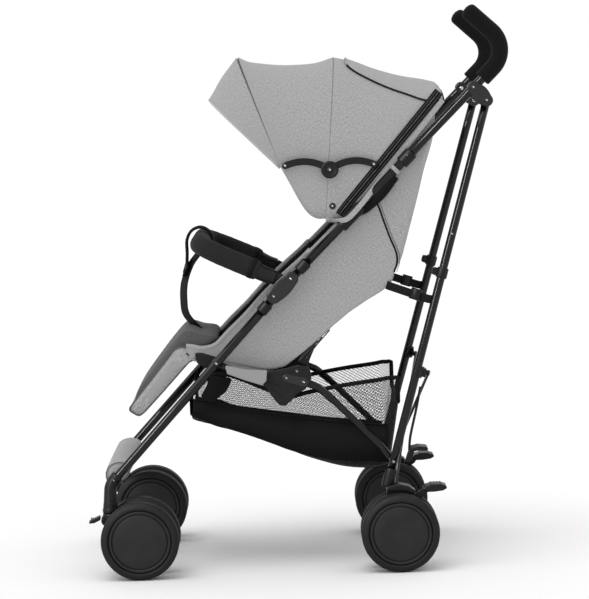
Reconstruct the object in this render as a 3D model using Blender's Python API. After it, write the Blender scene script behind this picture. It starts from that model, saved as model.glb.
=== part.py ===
"""Umbrella-fold pushchair with curved foam handles, a soft seat, canopy, basket and four twin wheels.

Units are metres. The buggy faces -Y, +X is its left-hand side and +Z is up. Outlines are drawn with
y = 0 in the middle between the front and rear axles; one empty then centres the whole object.
Each side of the frame is flat and leans outward towards the floor. side_point() places a point on it.
"""
import math

import bmesh
import bpy
from mathutils import Matrix, Vector

# Overall layout
CENTRE_SHIFT = 0.06735
SIDE_TOP_X = 0.160
SIDE_TOP_Z = 0.906
SIDE_LEAN = 0.0465
GAP = 0.0003

# Tubes
PUSH_TUBE_R = 0.0085
REAR_LEG_R = 0.0080
LINK_R = 0.0065
GRIP_R = 0.0162
TUBE_SIDES = 10

# Wheels
WHEEL_R = 0.074
WHEEL_WIDTH = 0.036
WHEEL_OUTER_FACE = 0.250
AXLE_Z = 0.074
FRONT_AXLE_Y = -0.246
REAR_AXLE_Y = 0.246
FRONT_PAIR_X = 0.1985
REAR_PAIR_X = 0.2065
CASTOR_Y = -0.302
AXLE_R = 0.004

# Pivots of the folding frame, as (y, z) on the side plane
TUBE_PIN = (0.4093, 0.9063)
LEG_PIVOT = (0.4337, 0.8810)
RAIL_PIVOT = (-0.0920, 0.4004)
LINK_TOP = (0.0726, 0.3592)
LINK_PIVOT = (0.2379, 0.2041)
TUBE_JOINT = (0.0385, 0.5411)
MID_RIVET_UP = (0.0540, 0.5563)
MID_RIVET_DOWN = (0.0208, 0.5243)

# Layers across the side plane, measured outward from the tubes' centre plane
RAIL_LAYER = (-0.0195, -0.0096)
LINK_LAYER_MID = -0.0268
PLATE_INNER_FACE = 0.0089
PLATE_THICKNESS = 0.0040

# Pins of the frame's pivots, and the holes that they turn in
PIN_R = 0.0035
PIN_HOLE_R = 0.0040
PLATE_PIN_R = 0.0040
PLATE_PIN_HOLE_R = 0.0045
PIN_SIDES = 12
HEAD_HEIGHT = 0.0021
FLAT_HEAD_HEIGHT = 0.0008

LEG_DIRECTION = Vector((0.0, LEG_PIVOT[0] - LINK_PIVOT[0], LEG_PIVOT[1] - LINK_PIVOT[1])).normalized()
LEG_REARWARD = Vector((0.0, LEG_DIRECTION.z, -LEG_DIRECTION.y))
SIDE_NORMAL = Vector((1.0, 0.0, SIDE_LEAN)).normalized()

# Cross brace behind the rear legs
BRACE_PIVOT_X = 0.172
BRACE_PIVOT_S = -0.045
SLIDER_S = 0.177
SLIDER_PIN_X = 0.1667
BRACE_LAYERS = {1: 0.0165, -1: 0.0235}
BRACE_BAR_THICK = 0.0040
BRACE_BAR_WIDTH = 0.012

# Colours
BLACK_METAL = (0.020, 0.020, 0.022, 1.0)
BLACK_PLASTIC = (0.016, 0.016, 0.017, 1.0)
FOAM_BLACK = (0.022, 0.022, 0.024, 1.0)
TYRE_BLACK = (0.028, 0.028, 0.028, 1.0)
FABRIC_GREY = (0.40, 0.40, 0.41, 1.0)
LINER_GREY = (0.14, 0.14, 0.145, 1.0)
WEBBING_BLACK = (0.015, 0.015, 0.016, 1.0)
MESH_GREY = (0.20, 0.20, 0.20, 1.0)

SIDE_NAMES = {1: "left", -1: "right"}


def side_point(y, z, w=0.0):
    """Point on the left side plane at (y, z), moved outward by w along the plane's normal."""
    return Vector((SIDE_TOP_X + SIDE_LEAN * (SIDE_TOP_Z - z), y, z)) + SIDE_NORMAL * w


def leg_yz(s, rearward=0.0):
    """(y, z) of the point at distance s up the rear leg from the link pivot and rearward of its axis."""
    return (LINK_PIVOT[0] + LEG_DIRECTION.y * s + LEG_REARWARD.y * rearward,
            LINK_PIVOT[1] + LEG_DIRECTION.z * s + LEG_REARWARD.z * rearward)


def leg_point(s, rearward=0.0, w=0.0):
    """Point at distance s up the left rear leg from the link pivot, moved rearward and outward."""
    return side_point(*leg_yz(s, rearward), w)


def material(name, colour, roughness, metallic=0.0):
    """Principled material, shared by name."""
    found = bpy.data.materials.get(name)
    if found:
        return found
    made = bpy.data.materials.new(name)
    made.use_nodes = True
    shader = made.node_tree.nodes["Principled BSDF"]
    shader.inputs["Base Color"].default_value = colour
    shader.inputs["Roughness"].default_value = roughness
    shader.inputs["Metallic"].default_value = metallic
    return made


def round_corners(points, radii, steps=5):
    """Polyline with an arc of the given radius in place of each inner corner."""
    path = [points[0]]
    for before, corner, after, radius in zip(points, points[1:], points[2:], radii):
        into = (corner - before).normalized()
        out = (after - corner).normalized()
        turn = into.angle(out)
        if radius <= 0.0 or turn < 0.02:
            path.append(corner)
            continue
        reach = radius * math.tan(turn / 2.0)
        centre = corner + (out - into).normalized() * (radius / math.cos(turn / 2.0))
        axis = into.cross(out).normalized()
        start = corner - into * reach - centre
        for i in range(steps + 1):
            path.append(centre + Matrix.Rotation(turn * i / steps, 3, axis) @ start)
    path.append(points[-1])
    return path


def ring_solid(rings):
    """Solid through rings of equally many points, with flat caps."""
    bm = bmesh.new()
    rows = [[bm.verts.new(p) for p in ring] for ring in rings]
    count = len(rows[0])
    for low, high in zip(rows, rows[1:]):
        for i in range(count):
            j = (i + 1) % count
            bm.faces.new((low[i], low[j], high[j], high[i]))
    bm.faces.new(list(reversed(rows[0])))
    bm.faces.new(rows[-1])
    bmesh.ops.recalc_face_normals(bm, faces=bm.faces)
    return bm


def sweep(path, radius, sides=TUBE_SIDES, squash=1.0, up=Vector((1.0, 0.0, 0.0))):
    """Round or oval tube along a path. radius is one value or one per point; squash scales along up."""
    radii = radius if isinstance(radius, (list, tuple)) else [radius] * len(path)
    rings = []
    for i, point in enumerate(path):
        before = path[max(i - 1, 0)]
        after = path[min(i + 1, len(path) - 1)]
        along = ((point - before).normalized() + (after - point).normalized()).normalized()
        first = (up - along * up.dot(along)).normalized()
        second = along.cross(first)
        ring = []
        for k in range(sides):
            angle = 2.0 * math.pi * (k + 0.5) / sides
            offset = first * (math.cos(angle) * squash) + second * math.sin(angle)
            ring.append(point + offset * radii[i])
        rings.append(ring)
    return ring_solid(rings)


def band(path, width, thickness, across=Vector((1.0, 0.0, 0.0))):
    """Flat strap of rectangular section along a path, its width lying along across."""
    rings = []
    for i, point in enumerate(path):
        before = path[max(i - 1, 0)]
        after = path[min(i + 1, len(path) - 1)]
        along = ((point - before).normalized() + (after - point).normalized()).normalized()
        wide = (across - along * across.dot(along)).normalized() * (width / 2.0)
        thick = along.cross(wide).normalized() * (thickness / 2.0)
        rings.append([point + wide + thick, point - wide + thick, point - wide - thick, point + wide - thick])
    return ring_solid(rings)


def lathe(profile, centre, axis, segments=20):
    """Turned solid. profile holds (radius, height) from the axis out and back to it."""
    axis = axis.normalized()
    first = axis.orthogonal().normalized()
    second = axis.cross(first)
    bm = bmesh.new()
    rows = []
    for radius, height in profile:
        middle = centre + axis * height
        if radius < 1e-7:
            rows.append([bm.verts.new(middle)])
            continue
        row = []
        for k in range(segments):
            angle = 2.0 * math.pi * k / segments
            row.append(bm.verts.new(middle + (first * math.cos(angle) + second * math.sin(angle)) * radius))
        rows.append(row)
    for low, high in zip(rows, rows[1:]):
        for i in range(segments):
            j = (i + 1) % segments
            if len(low) == 1:
                bm.faces.new((low[0], high[j], high[i]))
            elif len(high) == 1:
                bm.faces.new((low[i], low[j], high[0]))
            else:
                bm.faces.new((low[i], low[j], high[j], high[i]))
    bmesh.ops.recalc_face_normals(bm, faces=bm.faces)
    return bm


def cylinder(start, end, radius, segments=12):
    """Plain cylinder between two points."""
    length = (end - start).length
    return lathe([(0.0, 0.0), (radius, 0.0), (radius, length), (0.0, length)], start, end - start, segments)


def side_pin(y, z, w0, w1, radius, segments=PIN_SIDES):
    """Cylinder square to the side plane, from layer w0 to layer w1."""
    return cylinder(side_point(y, z, w0), side_point(y, z, w1), radius, segments)


def plate_between(low_points, high_points, bevel, all_edges=False):
    """Plate between two copies of an outline, its rims bevelled, or all its edges."""
    bm = bmesh.new()
    low = [bm.verts.new(p) for p in low_points]
    high = [bm.verts.new(p) for p in high_points]
    faces = [bm.faces.new(list(reversed(low))), bm.faces.new(high)]
    for i in range(len(low)):
        j = (i + 1) % len(low)
        bm.faces.new((low[i], low[j], high[j], high[i]))
    if bevel > 0.0:
        edges = list(bm.edges) if all_edges else list(faces[0].edges) + list(faces[1].edges)
        bmesh.ops.bevel(bm, geom=edges, offset=bevel, segments=1, affect="EDGES")
    bmesh.ops.recalc_face_normals(bm, faces=bm.faces)
    return bm


def side_plate(outline, w0, w1, bevel=0.0):
    """Plate of the given (y, z) outline between two layers of the side plane."""
    return plate_between([side_point(y, z, w0) for y, z in outline],
                         [side_point(y, z, w1) for y, z in outline], bevel)


def block(outline, x0, x1, bevel, all_edges=False):
    """Upright plate of a (y, z) outline between two X values."""
    return plate_between([Vector((x0, y, z)) for y, z in outline],
                         [Vector((x1, y, z)) for y, z in outline], bevel, all_edges)


def rivet_head(centre, axis, radius, height=HEAD_HEIGHT):
    """Low domed rivet head standing on centre."""
    shoulder = height * 0.57
    profile = [(0.0, 0.0), (radius, 0.0), (radius * 0.9, shoulder), (radius * 0.4, height), (0.0, height)]
    return lathe(profile, centre, axis, 8)


def stadium(a, b, radius, steps=6):
    """Outline of a slot shape around the (y, z) points a and b."""
    heading = math.atan2(b[1] - a[1], b[0] - a[0])
    outline = []
    for centre, start in ((b, heading - math.pi / 2), (a, heading + math.pi / 2)):
        for i in range(steps + 1):
            angle = start + math.pi * i / steps
            outline.append((centre[0] + radius * math.cos(angle), centre[1] + radius * math.sin(angle)))
    return outline


def boolean(first, second, operation):
    """Exact Boolean of two bmeshes, both used up."""
    objects = []
    for bm in (first, second):
        mesh = bpy.data.meshes.new("operand")
        bm.to_mesh(mesh)
        bm.free()
        made = bpy.data.objects.new("operand", mesh)
        bpy.context.scene.collection.objects.link(made)
        objects.append(made)
    modifier = objects[0].modifiers.new("cut", "BOOLEAN")
    modifier.operation = operation
    modifier.object = objects[1]
    graph = bpy.context.evaluated_depsgraph_get()
    graph.update()
    result = bmesh.new()
    result.from_mesh(objects[0].evaluated_get(graph).to_mesh())
    for made in objects:
        mesh = made.data
        bpy.data.objects.remove(made)
        bpy.data.meshes.remove(mesh)
    bmesh.ops.remove_doubles(result, verts=result.verts, dist=0.00001)
    bmesh.ops.dissolve_degenerate(result, edges=result.edges, dist=0.00001)
    return result


def join(first, *others):
    """Union of overlapping bmeshes into one closed body."""
    for other in others:
        first = boolean(first, other, "UNION")
    return first


def cut(first, *others):
    """First bmesh less all the others."""
    for other in others:
        first = boolean(first, other, "DIFFERENCE")
    return first


def add_piece(name, bm, look, origin, side=1, parent=None, smooth=40.0):
    """Object from a left-side bmesh. side -1 mirrors it; origin lies on the piece's joint axis."""
    origin = Vector((origin.x * side, origin.y, origin.z))
    if side < 0:
        bmesh.ops.scale(bm, vec=(-1.0, 1.0, 1.0), verts=bm.verts)
        bmesh.ops.reverse_faces(bm, faces=bm.faces)
    bmesh.ops.translate(bm, vec=-origin, verts=bm.verts)
    mesh = bpy.data.meshes.new(name)
    bm.to_mesh(mesh)
    bm.free()
    mesh.shade_smooth()
    mesh.set_sharp_from_angle(angle=math.radians(smooth))
    mesh.materials.append(look)
    made = bpy.data.objects.new(name, mesh)
    bpy.context.scene.collection.objects.link(made)
    made.location = origin
    made.parent = parent or bpy.data.objects["buggy_centre"]
    return made


def push_tube_path():
    """Upper tube from the middle plate up to the inside of the foam handle."""
    start = side_point(0.0394, 0.5420)
    knee = side_point(0.4831, 0.9779)
    end = side_point(0.4105, 1.0445)
    return round_corners([start, knee, end], [0.048], 6)


def clamp(start, end, radius):
    """Plastic sleeve around the push tube between two (y, z) points."""
    return sweep([side_point(*start), side_point(*end)], radius, TUBE_SIDES)


def make_push_tube(side):
    """Upper tube with the bracket, canopy clamp and bumper socket that are fixed to it."""
    tube = sweep(push_tube_path(), PUSH_TUBE_R)
    bracket = clamp((0.2982, 0.7977), (0.2632, 0.7667), 0.0115)
    canopy_clamp = clamp((0.1905, 0.6894), (0.1518, 0.6514), 0.0120)
    lug = side_plate(stadium((0.1640, 0.6650), (0.1370, 0.6720), 0.0085), -0.0060, 0.0000, 0.001)
    socket_path = [side_point(0.0830, 0.5850), side_point(0.0370, 0.5715), side_point(0.0240, 0.5760)]
    socket = sweep(socket_path, [0.0120, 0.0115, 0.0105], TUBE_SIDES, squash=0.72)
    tube = join(tube, bracket, canopy_clamp, lug, socket)
    hole_top = side_pin(*TUBE_PIN, -0.03, 0.03, PLATE_PIN_HOLE_R)
    hole_low = side_pin(*MID_RIVET_UP, -0.0060, 0.03, PIN_HOLE_R)
    tube = cut(tube, hole_top, hole_low)
    look = material("painted_black_tube", BLACK_METAL, 0.35, 0.4)
    add_piece(f"push_tube_{SIDE_NAMES[side]}", tube, look, side_point(*TUBE_JOINT), side)


def make_grip(side):
    """Foam handle over the curved end of the push tube, its top end drawn in."""
    start = side_point(0.4266, 0.9223)
    knee = side_point(0.4831, 0.9779)
    end = side_point(0.4011, 1.0532)
    path = round_corners([start, knee, end], [0.048], 6)
    radii = [GRIP_R] * len(path)
    radii[0] = GRIP_R - 0.0015
    path.insert(1, path[0].lerp(path[1], 0.06))
    radii.insert(1, GRIP_R)
    path.insert(-1, path[-2].lerp(path[-1], 0.80))
    radii.insert(-1, GRIP_R)
    path.append(path[-1] + (path[-1] - path[-2]).normalized() * 0.004)
    radii[-1] = GRIP_R * 0.90
    radii.append(GRIP_R * 0.58)
    foam = sweep(path, radii, 14)
    lead_in = side_point(0.4266 - 0.02, 0.9223 - 0.0197)
    bore_end = side_point(0.4101, 1.0449)
    bore = round_corners([lead_in, knee, bore_end], [0.048], 6)
    foam = cut(foam, sweep(bore, PUSH_TUBE_R + 2 * GAP))
    look = material("black_foam", FOAM_BLACK, 0.85)
    add_piece(f"handle_grip_{SIDE_NAMES[side]}", foam, look, side_point(0.4266, 0.9223), side)


def make_upper_plate(side):
    """Pair of oval plates held by two pins: one through the push tube, one the rear leg turns on."""
    outline = stadium(TUBE_PIN, LEG_PIVOT, 0.0128, 4)
    outer = side_plate(outline, PLATE_INNER_FACE, PLATE_INNER_FACE + PLATE_THICKNESS, 0.0012)
    inner = side_plate(outline, -PLATE_INNER_FACE - PLATE_THICKNESS, -PLATE_INNER_FACE, 0.0012)
    reach = PLATE_INNER_FACE + PLATE_THICKNESS
    parts = [inner]
    for pivot in (TUBE_PIN, LEG_PIVOT):
        parts.append(side_pin(*pivot, -reach - 0.0010, reach + 0.0005, PLATE_PIN_R))
        parts.append(rivet_head(side_point(*pivot, reach - 0.0002), SIDE_NORMAL, 0.0052))
    plate = join(outer, *parts)
    look = material("black_plastic", BLACK_PLASTIC, 0.45)
    add_piece(f"upper_plate_{SIDE_NAMES[side]}", plate, look, side_point(*LEG_PIVOT), side)


def make_mid_plate(side):
    """Oval plate that joins the push tube to the front leg with two pins, on the outer side."""
    outline = stadium(MID_RIVET_UP, MID_RIVET_DOWN, 0.0140, 5)
    plate = side_plate(outline, PLATE_INNER_FACE, PLATE_INNER_FACE + 0.0050, 0.0016)
    parts = []
    for pivot in (MID_RIVET_UP, MID_RIVET_DOWN):
        parts.append(side_pin(*pivot, -0.0056, PLATE_INNER_FACE + 0.0055, PIN_R))
        parts.append(rivet_head(side_point(*pivot, PLATE_INNER_FACE + 0.0048), SIDE_NORMAL, 0.0055))
    look = material("black_plastic", BLACK_PLASTIC, 0.45)
    add_piece(f"mid_plate_{SIDE_NAMES[side]}", join(plate, *parts), look, side_point(*TUBE_JOINT), side)


def front_leg_path():
    """Lower tube from the middle plate down to the castor housing, bent upright at its foot."""
    start = side_point(0.0376, 0.5400)
    knee = side_point(-0.3005, 0.1772)
    end = side_point(-0.3018, 0.1450)
    return round_corners([start, knee, end], [0.055], 5)


def make_front_leg(side):
    """Lower tube with holes for the middle plate's pin and for the seat rail's pin."""
    tube = sweep(front_leg_path(), PUSH_TUBE_R)
    hole_mid = side_pin(*MID_RIVET_DOWN, -0.0060, 0.03, PIN_HOLE_R)
    hole_rail = side_pin(*RAIL_PIVOT, -0.03, 0.03, PIN_HOLE_R)
    look = material("painted_black_tube", BLACK_METAL, 0.35, 0.4)
    add_piece(f"front_leg_{SIDE_NAMES[side]}", cut(tube, hole_mid, hole_rail), look,
              side_point(*TUBE_JOINT), side)


def make_castor_housing(side):
    """Socket at the foot of the front leg, flared at its lower rim, that the castor turns in."""
    knee = side_point(-0.3005, 0.1772)
    top = side_point(-0.2859, 0.1935)
    foot = Vector((FRONT_PAIR_X - 0.0005, CASTOR_Y, 0.1240))
    path = round_corners([top, knee, foot + Vector((0.0, 0.0, 0.020)), foot], [0.03, 0.0], 3)
    radii = [0.0118] + [0.0125] * (len(path) - 2) + [0.0150]
    housing = sweep(path, radii, 12)
    stem_bore = cylinder(Vector((FRONT_PAIR_X, CASTOR_Y, 0.11)), Vector((FRONT_PAIR_X, CASTOR_Y, 0.1435)),
                         0.0075, 16)
    tube = sweep(front_leg_path()[:-1] + [side_point(-0.3018, 0.1440)], PUSH_TUBE_R + 2 * GAP)
    housing = cut(housing, tube, stem_bore)
    look = material("black_plastic", BLACK_PLASTIC, 0.45)
    add_piece(f"castor_housing_{SIDE_NAMES[side]}", housing, look, foot, side)


def make_castor(side):
    """Castor body that swivels on its stem and carries the front axle behind it."""
    x = FRONT_PAIR_X
    web = [(-0.318, 0.1205), (-0.286, 0.1205), (-0.268, 0.1090), (-0.236, 0.0830), (-0.233, 0.0720),
           (-0.240, 0.0630), (-0.254, 0.0630), (-0.276, 0.0720), (-0.305, 0.0900), (-0.321, 0.1060)]
    body = block(web, x - 0.0085, x + 0.0085, 0.0020)
    head = [(0.0, 0.0), (0.0105, 0.0), (0.0148, 0.006), (0.0148, 0.0135), (0.0070, 0.0135), (0.0070, 0.0320),
            (0.0, 0.0320)]
    turned = lathe(head, Vector((x, CASTOR_Y, 0.1100)), Vector((0.0, 0.0, 1.0)), 16)
    reach = WHEEL_OUTER_FACE - 0.006 - FRONT_PAIR_X
    centre = Vector((x, FRONT_AXLE_Y, AXLE_Z))
    axle = cylinder(centre - Vector((reach, 0.0, 0.0)), centre + Vector((reach, 0.0, 0.0)), AXLE_R)
    boss = cylinder(centre - Vector((0.0150, 0.0, 0.0)), centre + Vector((0.0150, 0.0, 0.0)), 0.0110)
    look = material("black_plastic", BLACK_PLASTIC, 0.45)
    add_piece(f"castor_{SIDE_NAMES[side]}", join(body, turned, boss, axle), look,
              Vector((x, CASTOR_Y, 0.1235)), side)


def make_swivel_lever(side):
    """Foot lever in front of the castor that locks its swivel."""
    x = FRONT_PAIR_X
    profile = [(-0.3222, 0.1190), (-0.3215, 0.1115), (-0.3330, 0.1060), (-0.3425, 0.1052), (-0.3432, 0.1092),
               (-0.3350, 0.1135)]
    lever = block(profile, x - 0.0095, x + 0.0095, 0.0009, all_edges=True)
    look = material("black_plastic", BLACK_PLASTIC, 0.45)
    add_piece(f"swivel_lever_{SIDE_NAMES[side]}", lever, look, Vector((x, -0.3222, 0.1150)), side)


def make_wheel(name, side, x, y):
    """Wheel with a stepped tyre, two grooves around a plain disc, and a blind bore for the axle."""
    half = WHEEL_WIDTH / 2.0
    outward = 1.0 if x > (FRONT_PAIR_X if y < 0.0 else REAR_PAIR_X) else -1.0
    bore = AXLE_R + 2 * GAP
    profile = [(0.0, half - 0.0006), (0.0510, half - 0.0006), (0.0525, half - 0.0026), (0.0590, half),
               (0.0690, half - 0.0022), (WHEEL_R, half - 0.0090), (WHEEL_R, -half + 0.0090),
               (0.0690, -half + 0.0022), (0.0570, -half), (0.0535, half - 0.0110), (0.0160, half - 0.0110),
               (bore, -half), (bore, half - 0.0050), (0.0, half - 0.0050)]
    wheel = lathe(profile, Vector((x, y, AXLE_Z)), Vector((outward, 0.0, 0.0)), 22)
    look = material("black_tyre", TYRE_BLACK, 0.75)
    add_piece(name, wheel, look, Vector((x, y, AXLE_Z)), side)


def make_wheels(side):
    """Two front wheels and two rear wheels of one side."""
    for end, pair_x, y in (("front", FRONT_PAIR_X, FRONT_AXLE_Y), ("rear", REAR_PAIR_X, REAR_AXLE_Y)):
        outer_x = WHEEL_OUTER_FACE - WHEEL_WIDTH / 2.0
        make_wheel(f"wheel_{end}_{SIDE_NAMES[side]}_outer", side, outer_x, y)
        make_wheel(f"wheel_{end}_{SIDE_NAMES[side]}_inner", side, 2.0 * pair_x - outer_x, y)


def make_rear_leg(side):
    """Rear leg tube that turns on the upper plate, with its strap collar and a hole for the link's pin."""
    top = side_point(*LEG_PIVOT) + (side_point(*LEG_PIVOT) - side_point(*LINK_PIVOT)).normalized() * 0.0095
    tube = sweep([leg_point(-0.0400), top], REAR_LEG_R)
    collar = sweep([leg_point(0.4090), leg_point(0.4290)], 0.0108)
    lug_outline = [leg_yz(0.411, -0.006), leg_yz(0.427, -0.006), leg_yz(0.426, -0.020), leg_yz(0.412, -0.020)]
    lug = side_plate(lug_outline, -0.0040, 0.0040, 0.001)
    leg = join(tube, collar, lug)
    hole_top = side_pin(*LEG_PIVOT, -0.03, 0.03, PLATE_PIN_HOLE_R)
    hole_low = side_pin(*LINK_PIVOT, -0.03, 0.03, PIN_HOLE_R)
    leg = cut(leg, hole_top, hole_low)
    look = material("painted_black_tube", BLACK_METAL, 0.35, 0.4)
    add_piece(f"rear_leg_{SIDE_NAMES[side]}", leg, look, side_point(*LEG_PIVOT), side)


def make_rear_foot(side):
    """Housing on the foot of the rear leg: socket, upper block, web between the wheels, axle and ear."""
    socket = sweep([leg_point(-0.0500), leg_point(-0.0140)], [0.0120, 0.0118], 12)
    upper = block([(0.2215, 0.1510), (0.2240, 0.1600), (0.2460, 0.1640), (0.2640, 0.1600), (0.2780, 0.1500),
                   (0.2740, 0.1440), (0.2600, 0.1500)], 0.1880, 0.2190, 0.0015)
    web = block([(0.2215, 0.1560), (0.2600, 0.1560), (0.2720, 0.1440), (0.2660, 0.1000), (0.2600, 0.0660),
                 (0.2460, 0.0590), (0.2320, 0.0660), (0.2240, 0.1000)], 0.2010, 0.2120, 0.0020)
    centre = Vector((REAR_PAIR_X, REAR_AXLE_Y, AXLE_Z))
    reach = WHEEL_OUTER_FACE - 0.006 - REAR_PAIR_X
    axle = cylinder(centre - Vector((reach, 0.0, 0.0)), centre + Vector((reach, 0.0, 0.0)), AXLE_R)
    ear_low = BRACE_PIVOT_S - 0.0070
    ear_high = BRACE_PIVOT_S + 0.0070
    ear = block([leg_yz(ear_high, 0.004), leg_yz(ear_low, 0.004), leg_yz(ear_low, 0.0125),
                 leg_yz(ear_high, 0.0125)], BRACE_PIVOT_X - 0.0075, 0.1960, 0.0)
    foot = join(socket, upper, web, axle, ear)
    foot = cut(foot, sweep([leg_point(-0.0405), leg_point(0.05)], REAR_LEG_R + GAP))
    look = material("black_plastic", BLACK_PLASTIC, 0.45)
    add_piece(f"rear_foot_{SIDE_NAMES[side]}", foot, look, side_point(*LINK_PIVOT), side)


def brace_foot(side):
    """Lower pivot of the cross bar that starts on this side, written for the left side."""
    y, z = leg_yz(BRACE_PIVOT_S, BRACE_LAYERS[side])
    return Vector((BRACE_PIVOT_X, y, z))


def make_brake_pedal(side):
    """Brake pedal behind the rear foot: a flat pad on an arm."""
    pad = block([(0.2900, 0.1540), (0.3000, 0.1580), (0.3260, 0.1600), (0.3360, 0.1570), (0.3360, 0.1530),
                 (0.3180, 0.1500), (0.2960, 0.1495)], 0.1860, 0.2240, 0.0016)
    arm = block([(0.2790, 0.1465), (0.2950, 0.1545), (0.3050, 0.1530), (0.2960, 0.1400), (0.2830, 0.1330),
                 (0.2755, 0.1360)], 0.2005, 0.2125, 0.0)
    look = material("black_plastic", BLACK_PLASTIC, 0.45)
    add_piece(f"brake_pedal_{SIDE_NAMES[side]}", join(pad, arm), look, Vector((REAR_PAIR_X, 0.2800, 0.1400)),
              side)


def make_seat_rail(side):
    """Rail under the seat's edge: an eye and pin on the front leg, and a flat bar into the joint housing."""
    low, high = RAIL_LAYER
    middle = (low + high) / 2.0
    path = [side_point(-0.0860, 0.3968, middle), side_point(-0.0369, 0.3750, middle),
            side_point(0.0200, 0.3600, middle)]
    bar = sweep(round_corners(path, [0.08], 3), 0.0062, 12, squash=0.72)
    eye = side_pin(*RAIL_PIVOT, low, high, 0.0095)
    pin = side_pin(*RAIL_PIVOT, high - 0.001, 0.0098, PIN_R)
    head = rivet_head(side_point(*RAIL_PIVOT, PUSH_TUBE_R + 0.0004), SIDE_NORMAL, 0.0060)
    look = material("painted_black_tube", BLACK_METAL, 0.35, 0.4)
    add_piece(f"seat_rail_{SIDE_NAMES[side]}", join(bar, eye, pin, head), look, side_point(*RAIL_PIVOT), side)


def make_side_joint(side):
    """Joint housing at the rear end of the seat rail, with its fin, three rivet heads and a bar socket."""
    low, high = RAIL_LAYER
    outline = [(-0.0062, 0.3854), (-0.0085, 0.3640), (-0.0059, 0.3400), (0.0060, 0.3330), (0.0200, 0.3270),
               (0.0296, 0.3178), (0.0380, 0.3300), (0.0560, 0.3380), (0.0740, 0.3460), (0.0860, 0.3600),
               (0.0880, 0.3780), (0.0813, 0.3930), (0.0640, 0.3960), (0.0400, 0.3900), (0.0150, 0.3890)]
    housing = side_plate(outline, low, high, 0.0016)
    middle = (low + high) / 2.0
    socket = sweep([side_point(-0.0369, 0.3750, middle), side_point(0.0206, 0.3598, middle)],
                   0.0062 + 2 * GAP, 12, squash=0.76)
    housing = cut(housing, socket)
    heads = []
    for pivot in ((0.0600, 0.3805), (0.0397, 0.3678), LINK_TOP):
        heads.append(rivet_head(side_point(*pivot, high - 0.0002), SIDE_NORMAL, 0.0050, FLAT_HEAD_HEIGHT))
    look = material("black_plastic", BLACK_PLASTIC, 0.45)
    add_piece(f"side_joint_{SIDE_NAMES[side]}", join(housing, *heads), look, side_point(*RAIL_PIVOT), side)


def make_rear_link(side):
    """Link from the rear leg to the joint housing: bent tube, sleeve at the top, eye and pin at the foot."""
    def at(y, z):
        return side_point(y, z, LINK_LAYER_MID)
    path = [at(*LINK_TOP), at(0.0988, 0.3479), at(0.1270, 0.3230), at(0.2154, 0.2326), at(*LINK_PIVOT)]
    path = round_corners(path, [0.03, 0.03, 0.05], 3)
    path.insert(6, path[5].lerp(path[6], 0.02))
    tube = sweep(path, [LINK_R + 0.0008] * 6 + [LINK_R] * (len(path) - 6))
    inner = LINK_LAYER_MID - 0.0045
    top_eye = side_pin(*LINK_TOP, inner, LINK_LAYER_MID + 0.0068, 0.0090)
    foot_eye = side_pin(*LINK_PIVOT, inner, -REAR_LEG_R - 0.0005, 0.0095)
    pin = side_pin(*LINK_PIVOT, -REAR_LEG_R - 0.0010, 0.0094, PIN_R)
    head = rivet_head(side_point(*LINK_PIVOT, REAR_LEG_R + 0.0004), SIDE_NORMAL, 0.0060)
    look = material("painted_black_tube", BLACK_METAL, 0.35, 0.4)
    add_piece(f"rear_link_{SIDE_NAMES[side]}", join(tube, top_eye, foot_eye, pin, head), look,
              side_point(*LINK_PIVOT), side)


def make_slider(side):
    """Clip that hugs the rear side of the leg and carries the upper end of the opposite cross bar."""
    outline = []
    for radius, sweep_range in ((0.0118, range(-4, 5)), (REAR_LEG_R + 0.0006, range(4, -5, -1))):
        for i in sweep_range:
            angle = math.radians(19.0 * i)
            outline.append((radius * math.sin(angle), radius * math.cos(angle)))
    rings = []
    for s in (SLIDER_S - 0.0110, SLIDER_S + 0.0110):
        rings.append([leg_point(s, rearward, w) for w, rearward in outline])
    clip = ring_solid(rings)
    ear_face = BRACE_LAYERS[-side] - BRACE_BAR_THICK / 2.0 - 0.0032
    low = leg_yz(SLIDER_S - 0.0080, 0.0095)
    high = leg_yz(SLIDER_S + 0.0080, 0.0095)
    low_back = leg_yz(SLIDER_S - 0.0080, ear_face)
    high_back = leg_yz(SLIDER_S + 0.0080, ear_face)
    ear = block([low, high, high_back, low_back], SLIDER_PIN_X - 0.0080, 0.1880, 0.0)
    look = material("black_plastic", BLACK_PLASTIC, 0.45)
    add_piece(f"leg_slider_{SIDE_NAMES[side]}", join(clip, ear), look, leg_point(SLIDER_S), side)


def make_cross_bar(side):
    """Flat bar from this side's foot to the opposite slider, dished around its end rivets."""
    layer = BRACE_LAYERS[side]
    start = brace_foot(side)
    y, z = leg_yz(SLIDER_S, layer)
    end = Vector((-SLIDER_PIN_X, y, z))
    rearward = LEG_REARWARD
    along = (end - start).normalized()
    across = along.cross(rearward).normalized()
    outline = []
    for centre, start_angle in ((end, -math.pi / 2), (start, math.pi / 2)):
        for i in range(7):
            angle = start_angle + math.pi * i / 6
            outward = along * math.cos(angle) + across * math.sin(angle)
            outline.append(centre + outward * (BRACE_BAR_WIDTH / 2))
    half = rearward * (BRACE_BAR_THICK / 2.0)
    bar = plate_between([p - half for p in outline], [p + half for p in outline], 0.0009)
    reach = layer - 0.0125 - 0.0006
    pin = cylinder(start - rearward * reach, start, 0.0042)
    boss = cylinder(end - rearward * 0.0048, end, 0.0050)
    heads = []
    for point in (start, end):
        heads.append(rivet_head(point + half * 0.9, rearward, 0.0048))
    look = material("painted_black_tube", BLACK_METAL, 0.35, 0.4)
    add_piece(f"cross_bar_{SIDE_NAMES[side]}", join(bar, pin, boss, *heads), look, start, side)


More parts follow.
